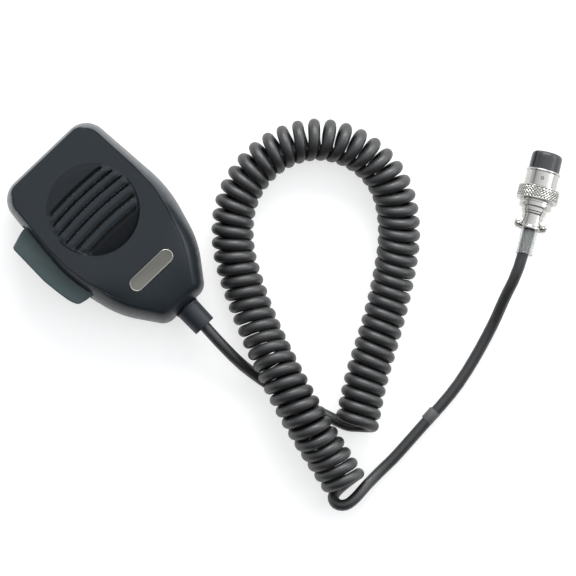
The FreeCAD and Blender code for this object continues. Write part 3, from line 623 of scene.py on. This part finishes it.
def face_points(outline):
    """Points over the face outside the grille and the badge."""
    points = []
    step = 1.1
    for j in range(-60, 40):
        for i in range(-30, 31):
            x, y = (i + 0.5 * (j % 2)) * step, j * step
            clear = min((point - Vector((x, y))).dot(way) - edge_width(point) for point, way in outline)
            if clear > FACE_ROWS[-1] + 0.6 and math.hypot(x, y) > GRILLE_RADIUS + 1.1:
                if not inside_stadium(x, y, *RECESS, 0.5):
                    points.append((x, y))
    return points


def edge_width(point):
    """The flank's width in plan at a point of the outline: narrower along the top."""
    return between(FLANK_WIDTHS, point.y) * (1 - 0.35 * smooth((point.y - 31.0) / 2.4))


def flank_rows(outline):
    """Rings from the split up the rounded flank, over the groove and on to the face."""
    steps = FLANK_STEPS + 2 + len(GROOVE) + len(FACE_ROWS)
    rows = [[] for _ in range(steps)]
    for point, way in outline:
        width = edge_width(point)
        end = smooth((-point.y - 24.0) / 24.0)
        top = smooth((way.y - 0.7) / 0.2)
        round_off = max(end, top)
        places = [(0.25, Z_SPLIT + 0.05), (0.0, Z_SPLIT + 0.3)]
        inner = point - way * width
        face = face_height(*inner)
        fall = (face - face_height(*(inner + way * 0.5))) / 0.5
        level = 0.75 * fall * width / (face - FLANK_FOOT)
        tangent = math.acos(min(0.4, max(0.0, level / (1 - level))))
        crease = math.radians(68) * (1 - round_off) + tangent * round_off
        for k in range(FLANK_STEPS):
            angle = crease * k / (FLANK_STEPS - 1)
            up = math.sin(angle) / math.sin(crease)
            over = (1 - math.cos(angle)) / (1 - math.cos(crease))
            inset = (width - 0.3) * (FLANK_DRAFT * up + (1 - FLANK_DRAFT) * over)
            places.append((inset, FLANK_FOOT + (face - FLANK_FOOT) * up))
        for across, drop in GROOVE:
            places.append((width + across, face + drop * (1 - round_off) * (1 - end)))
        for across in FACE_ROWS:
            place = point - way * (width + across)
            places.append((width + across, face_height(*place)))
        for row, (inset, height) in zip(rows, places):
            place = point - way * inset
            row.append((place.x, place.y, height))
    return soften_end(rows)


def soften_end(rows):
    """Smooth the rings round the cord end, so that the face runs over into the flank there."""
    for _ in range(END_PASSES):
        smoothed = [list(row) for row in rows]
        for k in range(3, len(rows)):
            for i, (x, y, z) in enumerate(rows[k]):
                share = 0.6 * smooth((-y - 30.0) / 20.0)
                if not share:
                    continue
                near = [rows[k][i - 1], rows[k][(i + 1) % len(rows[k])]]
                if k < len(rows) - 1:
                    near += [rows[k - 1][i], rows[k + 1][i]]
                goal = [sum(place[j] for place in near) / len(near) for j in range(3)]
                x, y, z = (here + (there - here) * share for here, there in zip((x, y, z), goal))
                smoothed[k][i] = (x, y, z if k < len(rows) - 1 else face_height(x, y))
        rows = smoothed
    return rows


def inside_window(x, y, z):
    """Whether a point of the skin is in the opening for the push-to-talk bar."""
    return x < WINDOW_SIDE and WINDOW_Y[0] < y < WINDOW_Y[1] and WINDOW_Z[0] < z < WINDOW_Z[1]


def painted_shade(x, y):
    """Which finish the face has here: the case's own, or painted shade in the grille's recessed crescents.
    That is a darker copy of the case plastic above the slots, and a still darker one below them and along
    the lower rim.
    """
    radius = math.hypot(x, y)
    across = y + slot_line(x)
    if radius > GRILLE_RADIUS:
        return 0
    if across < SLOTS_LOW or (y < 0 and radius > GRILLE_RADIUS - 0.7):
        return 2
    return 1 if across > SLOTS_HIGH else 0


def front_case(materials):
    """The front half of the case: flanks, face, grille and the recess for the badge."""
    outline = case_outline()
    bm = bmesh.new()
    rows = [[bm.verts.new(place) for place in row] for row in flank_rows(outline)]
    strip(bm, rows)
    recess = stadium_loop(*RECESS)
    loops = [[(v.co.x, v.co.y) for v in rows[-1]], recess]
    loops += [slot_loop(middle, width) for middle, width in zip(SLOT_MIDDLES, SLOT_WIDTHS)]
    places, cells = net_over(loops, grille_points() + face_points(outline))
    tops = [bm.verts.new((x, y, grille_height(x, y))) for x, y in places]
    for corners, (x, y) in cells:
        if not inside_slot(x, y, 0.0) and not inside_stadium(x, y, *RECESS, 0.0):
            bm.faces.new([tops[i] for i in corners]).material_index = painted_shade(x, y)
    bmesh.ops.remove_doubles(bm, verts=bm.verts, dist=0.002)
    under = CEILING - 0.02
    for loop in loops[1:]:
        upper = [bm.verts.new((x, y, grille_height(x, y))) for x, y in loop]
        strip(bm, [upper, [bm.verts.new((x, y, under)) for x, y in loop]])
    bm.faces.new([bm.verts.new((x, y, CEILING + 0.6)) for x, y in recess])
    strip(bm, [[bm.verts.new((radius * x, radius * y, under)) for x, y in circle(96)]
               for radius in (19.2, 22.5)])
    cut_window(bm)
    # The second and third finishes are painted shade: darker copies of the case plastic for the grille's
    # crescents.
    finishes = [materials[name] for name in ("case", "painted_shade", "painted_deep_shade")]
    return case_piece("front_case", bm, finishes, "case", "front_shell")


def on_window(x, y, z, margin=0.01):
    """Whether a point of the skin is in the opening or on its rim."""
    along = WINDOW_Y[0] - margin < y < WINDOW_Y[1] + margin
    return x < WINDOW_SIDE and along and WINDOW_Z[0] - margin < z < WINDOW_Z[1] + margin


def cut_window(bm):
    """Open the left flank for the push-to-talk bar and give the opening its thickness."""
    planes = [((0, y, 0), (0, 1, 0)) for y in WINDOW_Y] + [((0, 0, z), (0, 0, 1)) for z in WINDOW_Z]
    for place, way in planes:
        middles = [(face, face.calc_center_median()) for face in bm.faces]
        faces = [face for face, c in middles if c.x < WINDOW_SIDE - 2 and c.z < WINDOW_Z[1] + 2.7]
        near = set(faces)
        for face in faces:
            near.update(face.edges)
            near.update(face.verts)
        bmesh.ops.bisect_plane(bm, geom=list(near), plane_co=place, plane_no=way, dist=1e-4)
    gone = [f for f in bm.faces if inside_window(*f.calc_center_median())]
    bmesh.ops.delete(bm, geom=gone, context="FACES")
    rim = [edge for edge in bm.edges if edge.is_boundary and all(on_window(*v.co) for v in edge.verts)]
    grown = bmesh.ops.extrude_edge_only(bm, edges=rim)["geom"]
    for vertex in (v for v in grown if isinstance(v, bmesh.types.BMVert)):
        vertex.co.x += WALL


def rear_case(materials):
    """The rear half of the case: rounded towards its flat back, with screw recesses and the palm pad."""
    bm = bmesh.new()
    places = [(0.25, Z_SPLIT - 0.05), (0.0, Z_SPLIT - 0.3)]
    for k in range(13):
        angle = math.radians(90) * k / 12
        places.append((BACK_ROUND * (1 - math.cos(angle)), BACK_EDGE - BACK_ROUND * math.sin(angle)))
    outline = case_outline()
    rows = []
    for inset, height in places:
        spots = [point - way * inset for point, way in outline]
        rows.append([bm.verts.new((spot.x, spot.y, height)) for spot in spots])
    strip(bm, rows)
    radius, deep = SCREW_RECESS
    loops = [[(v.co.x, v.co.y) for v in rows[-1]]]
    loops += [[(x + radius * a, y + radius * b) for a, b in circle(40)] for x, y in CASE_BOSSES]
    places, cells = net_over(loops)
    back = [bm.verts.new((x, y, BACK_EDGE - BACK_ROUND)) for x, y in places]
    for corners, (x, y) in cells:
        if all(math.hypot(x - a, y - b) > radius * 0.98 for a, b in CASE_BOSSES):
            bm.faces.new([back[i] for i in corners])
    bmesh.ops.remove_doubles(bm, verts=bm.verts, dist=0.002)
    for loop in loops[1:]:
        strip(bm, [[bm.verts.new((x, y, z)) for x, y in loop] for z in (BACK_EDGE - BACK_ROUND, deep)])
    palm_pad(bm)
    cut_window(bm)
    return case_piece("rear_case", bm, [materials["case"]], "case", "rear_shell")


def palm_pad(bm):
    """The raised pad on the back that the microphone lies on."""
    length, width, y = PAD
    corners = [(-length / 2, y - width / 2), (length / 2, y - width / 2), (length / 2, y + width / 2),
               (-length / 2, y + width / 2)]
    levels = []
    for inset, height in PAD_PROFILE:
        ring = []
        for i, corner in enumerate(corners):
            for place, way in arc_points(corner, corners[i - 1], corners[(i + 1) % 4], 4.0, 0.5):
                ring.append(bm.verts.new((place.x - way.x * inset, place.y - way.y * inset, height)))
        levels.append(ring)
    strip(bm, levels)
    bm.faces.new(levels[-1])


def badge(materials):
    """The blank badge: a stadium with a bright bevel and a slightly sunken field."""
    bm = bmesh.new()
    outer = stadium_loop(PLATE_LENGTH, PLATE_WIDTH, PLATE_Y, 0.25)
    levels = []
    for inset, height in BADGE_PROFILE:
        ring = []
        for x, y in outer:
            beyond = math.copysign(max(0.0, abs(x) - (PLATE_LENGTH - PLATE_WIDTH) / 2), x)
            spoke = Vector((beyond, y - PLATE_Y)).normalized() * inset
            sag = Z_FACE - face_height(x, y)
            ring.append(bm.verts.new((x - spoke.x, y - spoke.y, height - sag)))
        levels.append(ring)
    for face in strip(bm, levels):
        face.material_index = 1
    bm.faces.new(levels[-1]).material_index = 0
    finishes = [materials["badge"], materials["badge_edge"]]
    return case_piece("badge", bm, finishes, "badge", "name_plate")


# ------------------------------------------------------------------ push-to-talk bar
def bar(materials):
    """The bar: a softly rounded slab with an eye for the pin, a stop lip and a finger for the switch."""
    bm = bmesh.new()
    corners = [Vector(corner) for corner in BAR_OUTLINE]
    middle = sum(corners, Vector((0, 0))) / len(corners)
    loop = rounded([corners[-1]] + corners + [corners[0]], 1.6, 5)[1:-1]
    levels = []
    for inset, height in BAR_PROFILE:
        ring = []
        for i, (x, y) in enumerate(loop):
            before, after = Vector(loop[i - 1]), Vector(loop[(i + 1) % len(loop)])
            along = (after - before).normalized()
            inwards = Vector((along.y, -along.x))
            if inwards.dot(middle - Vector((x, y))) < 0:
                inwards = -inwards
            ring.append(bm.verts.new((x + inwards.x * inset, y + inwards.y * inset, height)))
        levels.append(ring)
    strip(bm, levels)
    bm.faces.new(levels[0])
    bm.faces.new(levels[-1])
    for low, high in BAR_BLOCKS:
        slab(bm, low, high)
    return case_piece("talk_bar", bm, [materials["bar"]], "bar", "ptt_bar", body="bar")


def slab(bm, low, high):
    """A box between two corners."""
    grown = bmesh.ops.create_cube(bm, size=1.0)["verts"]
    for vertex in grown:
        for k in range(3):
            vertex.co[k] = (low[k] + high[k]) / 2 + vertex.co[k] * (high[k] - low[k])


def bar_spring(materials):
    """The bar's return spring, a helix of round wire."""
    bm = bmesh.new()
    x, y, z = SPRING_START
    steps = SPRING_TURNS * 40
    rings = []
    for i in range(steps + 1):
        turn = 2 * math.pi * i / 40
        middle = Vector((x + SPRING_LENGTH * i / steps, y, z))
        out = Vector((0, math.cos(turn), math.sin(turn)))
        ring = []
        for a, b in circle(10):
            wire = out * a + Vector((b, 0, 0))
            ring.append(bm.verts.new(middle + out * SPRING_RADIUS + wire * SPRING_WIRE))
        rings.append(ring)
    strip(bm, rings)
    bm.faces.new(rings[0])
    bm.faces.new(rings[-1])
    spring = case_piece("bar_spring", bm, [materials["steel"]], "steel", "return_spring")
    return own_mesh(spring)


# ------------------------------------------------------------------ strain relief, band and plug
def relief(materials):
    """The strain relief: a slightly tapered sleeve with a shoulder at the case and a square-cut end."""
    bm = bmesh.new()
    lathe(bm, rounded(RELIEF_PROFILE, 0.45), 72)
    aim = Matrix.Translation(Vector((0, 0, Z_SPLIT))) @ Matrix.Rotation(math.radians(90), 4, "Z")
    bmesh.ops.transform(bm, matrix=aim, verts=bm.verts)
    return case_piece("cord_sleeve", bm, [materials["relief"]], "relief", "strain_relief")


def insert_keyway(materials):
    """The plug's black nose with its keyway and the four contact holes in its face."""
    bm = bmesh.new()
    rings = []
    keyway = math.radians(KEYWAY_TURN)
    steps = 240
    for back, radius in rounded(NOSE_PROFILE, 0.25, 3):
        ring = []
        for i in range(steps):
            turn = 2 * math.pi * i / steps
            away = abs(math.atan2(math.sin(turn - keyway), math.cos(turn - keyway))) * INSERT_RADIUS
            depth = KEYWAY_DEPTH * (1 - smooth((away - KEYWAY_WIDTH / 2) / 0.18))
            near = min(radius, INSERT_RADIUS - depth)
            ring.append(bm.verts.new((-back, near * math.sin(turn), near * math.cos(turn))))
        rings.append(ring)
    strip(bm, rings)
    fill_face(bm, rings[0])
    return plug_piece("plug_nose", bm, materials["insulator"], "insulator", "plug_insert")


def fill_face(bm, rim):
    """The plug's face inside its rim, with a hole and a short bore round each contact."""
    depth = rim[0].co.x
    loops = [[(v.co.y, v.co.z) for v in rim]]
    loops += [[(y + CONTACT_HOLE * a, z + CONTACT_HOLE * b) for a, b in circle(28)] for y, z in CONTACTS]
    places, cells = net_over(loops)
    verts = [bm.verts.new((depth, y, z)) for y, z in places]
    for corners, (y, z) in cells:
        if all(math.hypot(y - a, z - b) > CONTACT_HOLE * 0.97 for a, b in CONTACTS):
            bm.faces.new([verts[i] for i in corners])
    bmesh.ops.remove_doubles(bm, verts=verts + rim, dist=0.001)
    for loop in loops[1:]:
        strip(bm, [[bm.verts.new((x, y, z)) for y, z in loop] for x in (depth, depth - CONTACT_BORE)])


def contact_tubes(materials):
    """The four contacts, each an open tube, just below the face of the nose."""
    bm = bmesh.new()
    for y, z in CONTACTS:
        rings = []
        for back, radius in CONTACT_PROFILE:
            rings.append([bm.verts.new((-back, y + radius * a, z + radius * b)) for a, b in circle(24)])
        strip(bm, rings)
    bmesh.ops.remove_doubles(bm, verts=bm.verts, dist=0.001)
    return plug_piece("contact_tubes", bm, materials["brass"], "brass", "plug_contacts")


def knurled_ring(materials):
    """The coupling ring with a diamond knurl between two chamfered edges."""
    bm = bmesh.new()
    steps = KNURLS * 8
    backs = [back for back, radius in RING_INNER]
    rings = [[radius] * steps for back, radius in RING_INNER]
    for j in range(KNURL_ROWS + 1):
        back = KNURL_FRONT + (KNURL_BACK - KNURL_FRONT) * j / KNURL_ROWS
        fade = smooth(min(back - KNURL_FRONT, KNURL_BACK - back) / 0.25)
        along = (back - KNURL_FRONT) / KNURL_PITCH
        cuts = [max(fold(i / 8 + along), fold(i / 8 - along)) for i in range(steps)]
        crest = KNURL_EDGE + (RING_RADIUS - KNURL_EDGE) * fade
        rings.append([crest - KNURL_DEPTH * cut * fade for cut in cuts])
        backs.append(back)
    backs += [back for back, radius in RING_OUTER]
    rings += [[radius] * steps for back, radius in RING_OUTER]
    made = []
    for back, ring in zip(backs, rings):
        spots = [(radius * y, radius * z) for radius, (y, z) in zip(ring, circle(steps))]
        made.append([bm.verts.new((-back, y, z)) for y, z in spots])
    strip(bm, made)
    ring = plug_piece("knurled_ring", bm, materials["nickel"], "nickel", "coupling_ring", body="ring")
    ring.data.set_sharp_from_angle(angle=KNURL_ANGLE)
    return ring


def fold(value):
    """A V groove once in each unit: 1 at its bottom and 0 halfway to the next."""
    return 1 - 2 * abs(value - round(value))


def clamp_half(bm, side):
    """Half of the cable clamp: a half tube, a flared rear rim and two rounded ears."""
    rings = []
    for back, radius in rounded(CLAMP_PROFILE, 0.25):
        ring = []
        for i in range(25):
            turn = math.pi * i / 24
            y, z = radius * math.cos(turn), radius * math.sin(turn) + 0.15
            ring.append(bm.verts.new((-back, y, side * z)))
        rings.append(ring)
    for first, second in zip(rings, rings[1:]):
        for i in range(24):
            bm.faces.new((first[i], first[i + 1], second[i + 1], second[i]))
    for way in (-1, 1):
        ear(bm, way, side)


def ear(bm, way, side):
    """One ear of the cable clamp, rounded in plan, with softened edges."""
    middle = EAR_LENGTH / 2 - CLAMP_BACK
    half = EAR_LENGTH / 2
    plan = []
    for i in range(17):
        turn = math.pi * i / 16 - math.pi / 2
        plan.append((middle - math.sin(turn) * half, EAR_MIDDLE + math.cos(turn) * half * 0.8))
    plan += [(middle - half, EAR_ROOT), (middle + half, EAR_ROOT)]
    levels = []
    for share, height in ((1.0, 0.15), (1.0, 2.0), (0.97, 2.25), (0.9, 2.35)):
        ring = []
        for x, y in plan:
            across = EAR_CENTRE + (y - EAR_CENTRE) * share
            ring.append(bm.verts.new((middle + (x - middle) * share, way * across, side * height)))
        levels.append(ring)
    strip(bm, levels)
    bm.faces.new(levels[0])
    bm.faces.new(levels[-1])


def upright_lathe(bm, profile, x, y):
    """A surface turned round a line parallel to the plug's Z axis, from (radius, height) points."""
    rings = []
    for radius, height in profile:
        rings.append([bm.verts.new((x + radius * a, y + radius * b, height)) for a, b in circle(40)])
    strip(bm, rings)
    bm.faces.new(rings[-1])


def plug_screws(materials):
    """The two domed screws of the cable clamp, and the grub screw in the sleeve."""
    bm = bmesh.new()
    for y in (-EAR_MIDDLE, EAR_MIDDLE):
        upright_lathe(bm, SCREW_DOME, EAR_LENGTH / 2 - CLAMP_BACK, y)
    heads = plug_piece("screw_heads", bm, materials["nickel"], "nickel", "saddle_screws")
    bm = bmesh.new()
    upright_lathe(bm, GRUB_HEAD, -GRUB_BACK, 0)
    return [heads, plug_piece("grub_screw", bm, materials["grub"], "steel", "set_screw")]


def clamp_and_shell(materials):
    """The plug's shell, with one half of the cable clamp, and the other half."""
    bm = bmesh.new()
    profile = rounded(LIP, 0.2) + rounded(SLEEVE, 0.1) + rounded(COLLAR, 0.15) + rounded(NECK, 0.15)
    lathe(bm, profile, 120)
    clamp_half(bm, -1)
    shell = plug_piece("plug_shell", bm, materials["nickel"], "nickel", "plug_body")
    bm = bmesh.new()
    clamp_half(bm, 1)
    return [shell, plug_piece("clamp_saddle", bm, materials["nickel"], "nickel", "plug_saddle")]


def tube_and_washer(materials):
    """The clear tubing behind the clamp and the slip washer in the coupling ring."""
    bm = bmesh.new()
    lathe(bm, rounded(TUBE_PROFILE, 0.08), 96)
    clear = plug_piece("clear_tube", bm, materials["clear"], "clear", "clear_sleeve")
    bm = bmesh.new()
    lathe(bm, rounded(WASHER_PROFILE, 0.05), 96)
    return [clear, plug_piece("slip_washer", bm, materials["steel"], "steel", "ring_washer", body="washer")]


def plug_pieces(materials):
    """Every visible piece of the plug."""
    made = clamp_and_shell(materials) + [insert_keyway(materials), knurled_ring(materials)]
    return made + tube_and_washer(materials) + [contact_tubes(materials)] + plug_screws(materials)


def marker_band(materials):
    """The wrapped tape on the tail: a thin sleeve with an overlapping end."""
    start, end = (at(*TAIL_ROUTE[-5]), at(*TAIL_ROUTE[-4]))
    low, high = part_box("tail_band")
    middle = (low + high) / 2
    along = (end - start).normalized()
    side = UP.cross(along).normalized()
    over = along.cross(side)
    bm = bmesh.new()
    rings = []
    for place, radius in BAND_PROFILE:
        ring = []
        for i, (a, b) in enumerate(circle(64)):
            reach = radius + 0.1 * (1 - i / 64) - 0.05
            ring.append(bm.verts.new(middle + (along * place + (side * a + over * b) * reach) * MM))
        rings.append(ring)
    strip(bm, rings)
    return piece("marker_tape", bm, [materials["tape"]], "head", "tape", "tail_band")


# ------------------------------------------------------------------ camera, floor and light
def make_camera():
    """Straight above the object, turned so that the microphone's top points up and to the left."""
    data = bpy.data.cameras.new("camera")
    data.lens = LENS
    data.sensor_width = 36
    camera = bpy.data.objects.new("camera", data)
    bpy.context.collection.objects.link(camera)
    turn = Matrix((VIEW_RIGHT, VIEW_TOP, UP)).transposed().to_4x4()
    camera.matrix_world = Matrix.Translation(at(*VIEW_CENTRE, VIEW_HEIGHT)) @ turn
    bpy.context.scene.camera = camera


def area_light(name, place, target, size, energy):
    """A soft square light aimed at a point."""
    data = bpy.data.lights.new(name, "AREA")
    data.shape = "RECTANGLE"
    data.size, data.size_y = size
    data.energy = energy
    light = bpy.data.objects.new(name, data)
    bpy.context.collection.objects.link(light)
    light.location = place
    light.rotation_mode = "QUATERNION"
    light.rotation_quaternion = (target - place).to_track_quat("-Z", "Y")


def set_inputs(tree, node, inputs):
    """Link outputs to a node's inputs, or give them numbers."""
    for socket, value in inputs.items():
        if isinstance(value, bpy.types.NodeSocket):
            tree.links.new(value, node.inputs[socket])
        else:
            node.inputs[socket].default_value = value


def add_node(tree, kind, inputs, **settings):
    """A new node with its settings and inputs."""
    node = tree.nodes.new(kind)
    for name, value in settings.items():
        setattr(node, name, value)
    set_inputs(tree, node, inputs)
    return node


def make_room():
    """A light tent with two dark flags across the view, dimmer towards the bottom of the view."""
    world = bpy.data.worlds.new("room")
    world.use_nodes = True
    tree = world.node_tree
    way = tree.nodes.new("ShaderNodeTexCoord").outputs["Generated"]
    across, upwards = [
        add_node(tree, "ShaderNodeVectorMath", {0: way, 1: aim}, operation="DOT_PRODUCT").outputs["Value"]
        for aim in (VIEW_RIGHT, VIEW_TOP)
    ]
    shift = add_node(tree, "ShaderNodeMapRange", {"Value": across, "From Min": -1.0})
    ramp = add_node(tree, "ShaderNodeValToRGB", {"Fac": shift.outputs["Result"]})
    stops = ramp.color_ramp.elements
    while len(stops) < len(ROOM_ACROSS):
        stops.new(0.5)
    for stop, (place, level) in zip(stops, ROOM_ACROSS):
        stop.position = (place + 1) / 2
        stop.color = (level, level, level, 1)
    span = {"Value": upwards, "From Min": -0.42, "From Max": 0.02, "To Min": 0.14, "To Max": ROOM_LEVEL}
    low = add_node(tree, "ShaderNodeMapRange", span, interpolation_type="SMOOTHSTEP")
    factors = {0: ramp.outputs["Color"], 1: low.outputs["Result"]}
    both = add_node(tree, "ShaderNodeMath", factors, operation="MULTIPLY").outputs["Value"]
    set_inputs(tree, tree.nodes["Background"], {"Color": (0.95, 0.98, 1.0, 1), "Strength": both})
    return world


def make_studio():
    """A white table in a soft white room, with the main light from the top of the view."""
    scene = bpy.context.scene
    scene.view_settings.view_transform = "Standard"
    scene.world = make_room()
    centre = at(*VIEW_CENTRE, 0)
    top, right = Vector(VIEW_TOP), Vector(VIEW_RIGHT)
    area_light("key", centre + top * 0.9 + right * 0.1 + UP * 0.6, centre, (0.9, 0.4), 10.0)
    area_light("side", centre + right * 1.0 + top * 0.3 + UP * 0.4, centre, (0.7, 0.4), 3.0)
    mesh = bpy.data.meshes.new("floor")
    signs = [(-1, -1), (1, -1), (1, 1), (-1, 1)]
    mesh.from_pydata([(x * TABLE_REACH, y * TABLE_REACH, 0) for x, y in signs], [], [(0, 1, 2, 3)])
    floor = bpy.data.objects.new("floor", mesh)
    bpy.context.collection.objects.link(floor)
    table = paint("table", (0.52, 0.52, 0.52), 0.7, mottle=0.02, scale=20, Emission_Strength=0.66)
    table.node_tree.nodes["Principled BSDF"].inputs["Emission Color"].default_value = (1, 1, 1, 1)
    floor.data.materials.append(table)


# ------------------------------------------------------------------ materials
def paint(name, color, roughness, mottle=0.12, scale=60.0, grain=0.0, grain_scale=2500.0,
          metallic=0.0, **sockets):
    """A plain surface with slow colour changes, uneven gloss and a fine grain."""
    material = bpy.data.materials.new(name)
    material.use_nodes = True
    tree = material.node_tree
    bsdf = tree.nodes["Principled BSDF"]
    set_inputs(tree, bsdf, {"Base Color": (*color, 1), "Roughness": roughness, "Metallic": metallic})
    set_inputs(tree, bsdf, {socket.replace("_", " "): value for socket, value in sockets.items()})
    place = tree.nodes.new("ShaderNodeTexCoord").outputs["Object"]

    def noise(repeats, detail):
        """Cloudy noise, with its repeats per metre."""
        inputs = {"Vector": place, "Scale": repeats, "Detail": detail}
        return add_node(tree, "ShaderNodeTexNoise", inputs).outputs["Fac"]

    tint = add_node(tree, "ShaderNodeMix", {"Factor": noise(scale, 4.0)}, data_type="RGBA")
    ends = [socket for socket in tint.inputs if socket.type == "RGBA"]
    for end, change in zip(ends, (1 - mottle, 1 + mottle)):
        end.default_value = (*(min(1.0, c * change) for c in color), 1)
    tinted = [socket for socket in tint.outputs if socket.type == "RGBA"][0]
    span = {"Value": noise(scale * 7, 3.0), "From Min": 0.3, "From Max": 0.7}
    span.update({"To Min": roughness * 0.88, "To Max": min(1.0, roughness * 1.12)})
    gloss = add_node(tree, "ShaderNodeMapRange", span).outputs["Result"]
    set_inputs(tree, bsdf, {"Base Color": tinted, "Roughness": gloss})
    if grain:
        bump = {"Height": noise(grain_scale, 2.0), "Distance": grain, "Strength": 1.0}
        set_inputs(tree, bsdf, {"Normal": add_node(tree, "ShaderNodeBump", bump).outputs["Normal"]})
    return material


def build_materials():
    """The finishes: one for each of the record's slots, and four for details of the pieces. Two of those
    four are painted shade: darker copies of the case plastic for the grille's crescents.
    """
    return {
        "case": paint("case_plastic", (0.014, 0.0185, 0.023), 0.33, IOR=1.37, grain=0.00004),
        # Painted shade: darker copies of the case plastic, with weaker reflections, for the grille's
        # crescents above and below the slots.
        "painted_shade": paint("painted_shade_plastic", (0.011, 0.0145, 0.018), 0.38, IOR=1.31, grain=0.00004),
        "painted_deep_shade": paint("painted_deep_shade_plastic", (0.006, 0.0075, 0.009), 0.42, IOR=1.24, grain=0.00004),
        "bar": paint("bar_plastic", (0.068, 0.096, 0.098), 0.45, IOR=1.4, grain=0.00004),
        "relief": paint("relief_rubber", (0.02, 0.025, 0.032), 0.45, IOR=1.42, grain=0.00005),
        "cord": paint("cord_jacket", (0.013, 0.013, 0.014), 0.46, IOR=1.7, grain=0.00003, grain_scale=3500),
        "badge": paint("badge_paint", (0.15, 0.146, 0.13), 0.35, metallic=0.3, grain=0.00001),
        "badge_edge": paint("badge_bevel", (0.36, 0.35, 0.33), 0.3, metallic=1.0, mottle=0.05),
        "nickel": paint("nickel_plate", (0.48, 0.472, 0.45), 0.2, metallic=1.0, mottle=0.05),
        "steel": paint("steel_plate", (0.55, 0.55, 0.55), 0.28, metallic=1.0, mottle=0.08),
        "grub": paint("blackened_steel", (0.05, 0.05, 0.05), 0.35, metallic=0.9),
        "brass": paint("brass_contact", (0.75, 0.55, 0.28), 0.25, metallic=1.0, mottle=0.08),
        "insulator": paint("insulator_plastic", (0.03, 0.03, 0.032), 0.3, grain=0.00002),
        "cloth": paint("dust_cloth", (0.012, 0.012, 0.013), 0.9, grain=0.0002, grain_scale=1800),
        "capsule_can": paint("capsule_can", (0.5, 0.5, 0.5), 0.35, metallic=1.0),
        "rubber": paint("capsule_rubber", (0.02, 0.02, 0.02), 0.7, grain=0.00005),
        "wire": paint("wire_insulation", (0.35, 0.05, 0.04), 0.45),
        "board": paint("board_laminate", (0.02, 0.12, 0.05), 0.35, grain=0.00003, grain_scale=1500),
        "component": paint("component_body", (0.06, 0.05, 0.045), 0.4),
        "switch": paint("switch_body", (0.05, 0.05, 0.055), 0.45),
        "clear": paint("clear_tubing", (0.77, 0.78, 0.78), 0.12, Transmission_Weight=0.88, IOR=1.18),
        "tape": paint("marker_tape", (0.09, 0.09, 0.092), 0.5, grain=0.00004),
    }


def finish_cad_nodes(materials):
    """Give each CAD node that stays the finish of its slot."""
    for part in frame["record"]["subparts"]:
        obj = frame["nodes"][part["node"]]
        obj.data.materials.clear()
        obj.data.materials.append(materials[part["material_slot"]])


make_camera()
materials = build_materials()
make_studio()
finish_cad_nodes(materials)
front_case(materials)
rear_case(materials)
badge(materials)
bar(materials)
bar_spring(materials)
relief(materials)
band = marker_band(materials)
make_cord(materials["cord"], plug_pieces(materials) + [band])
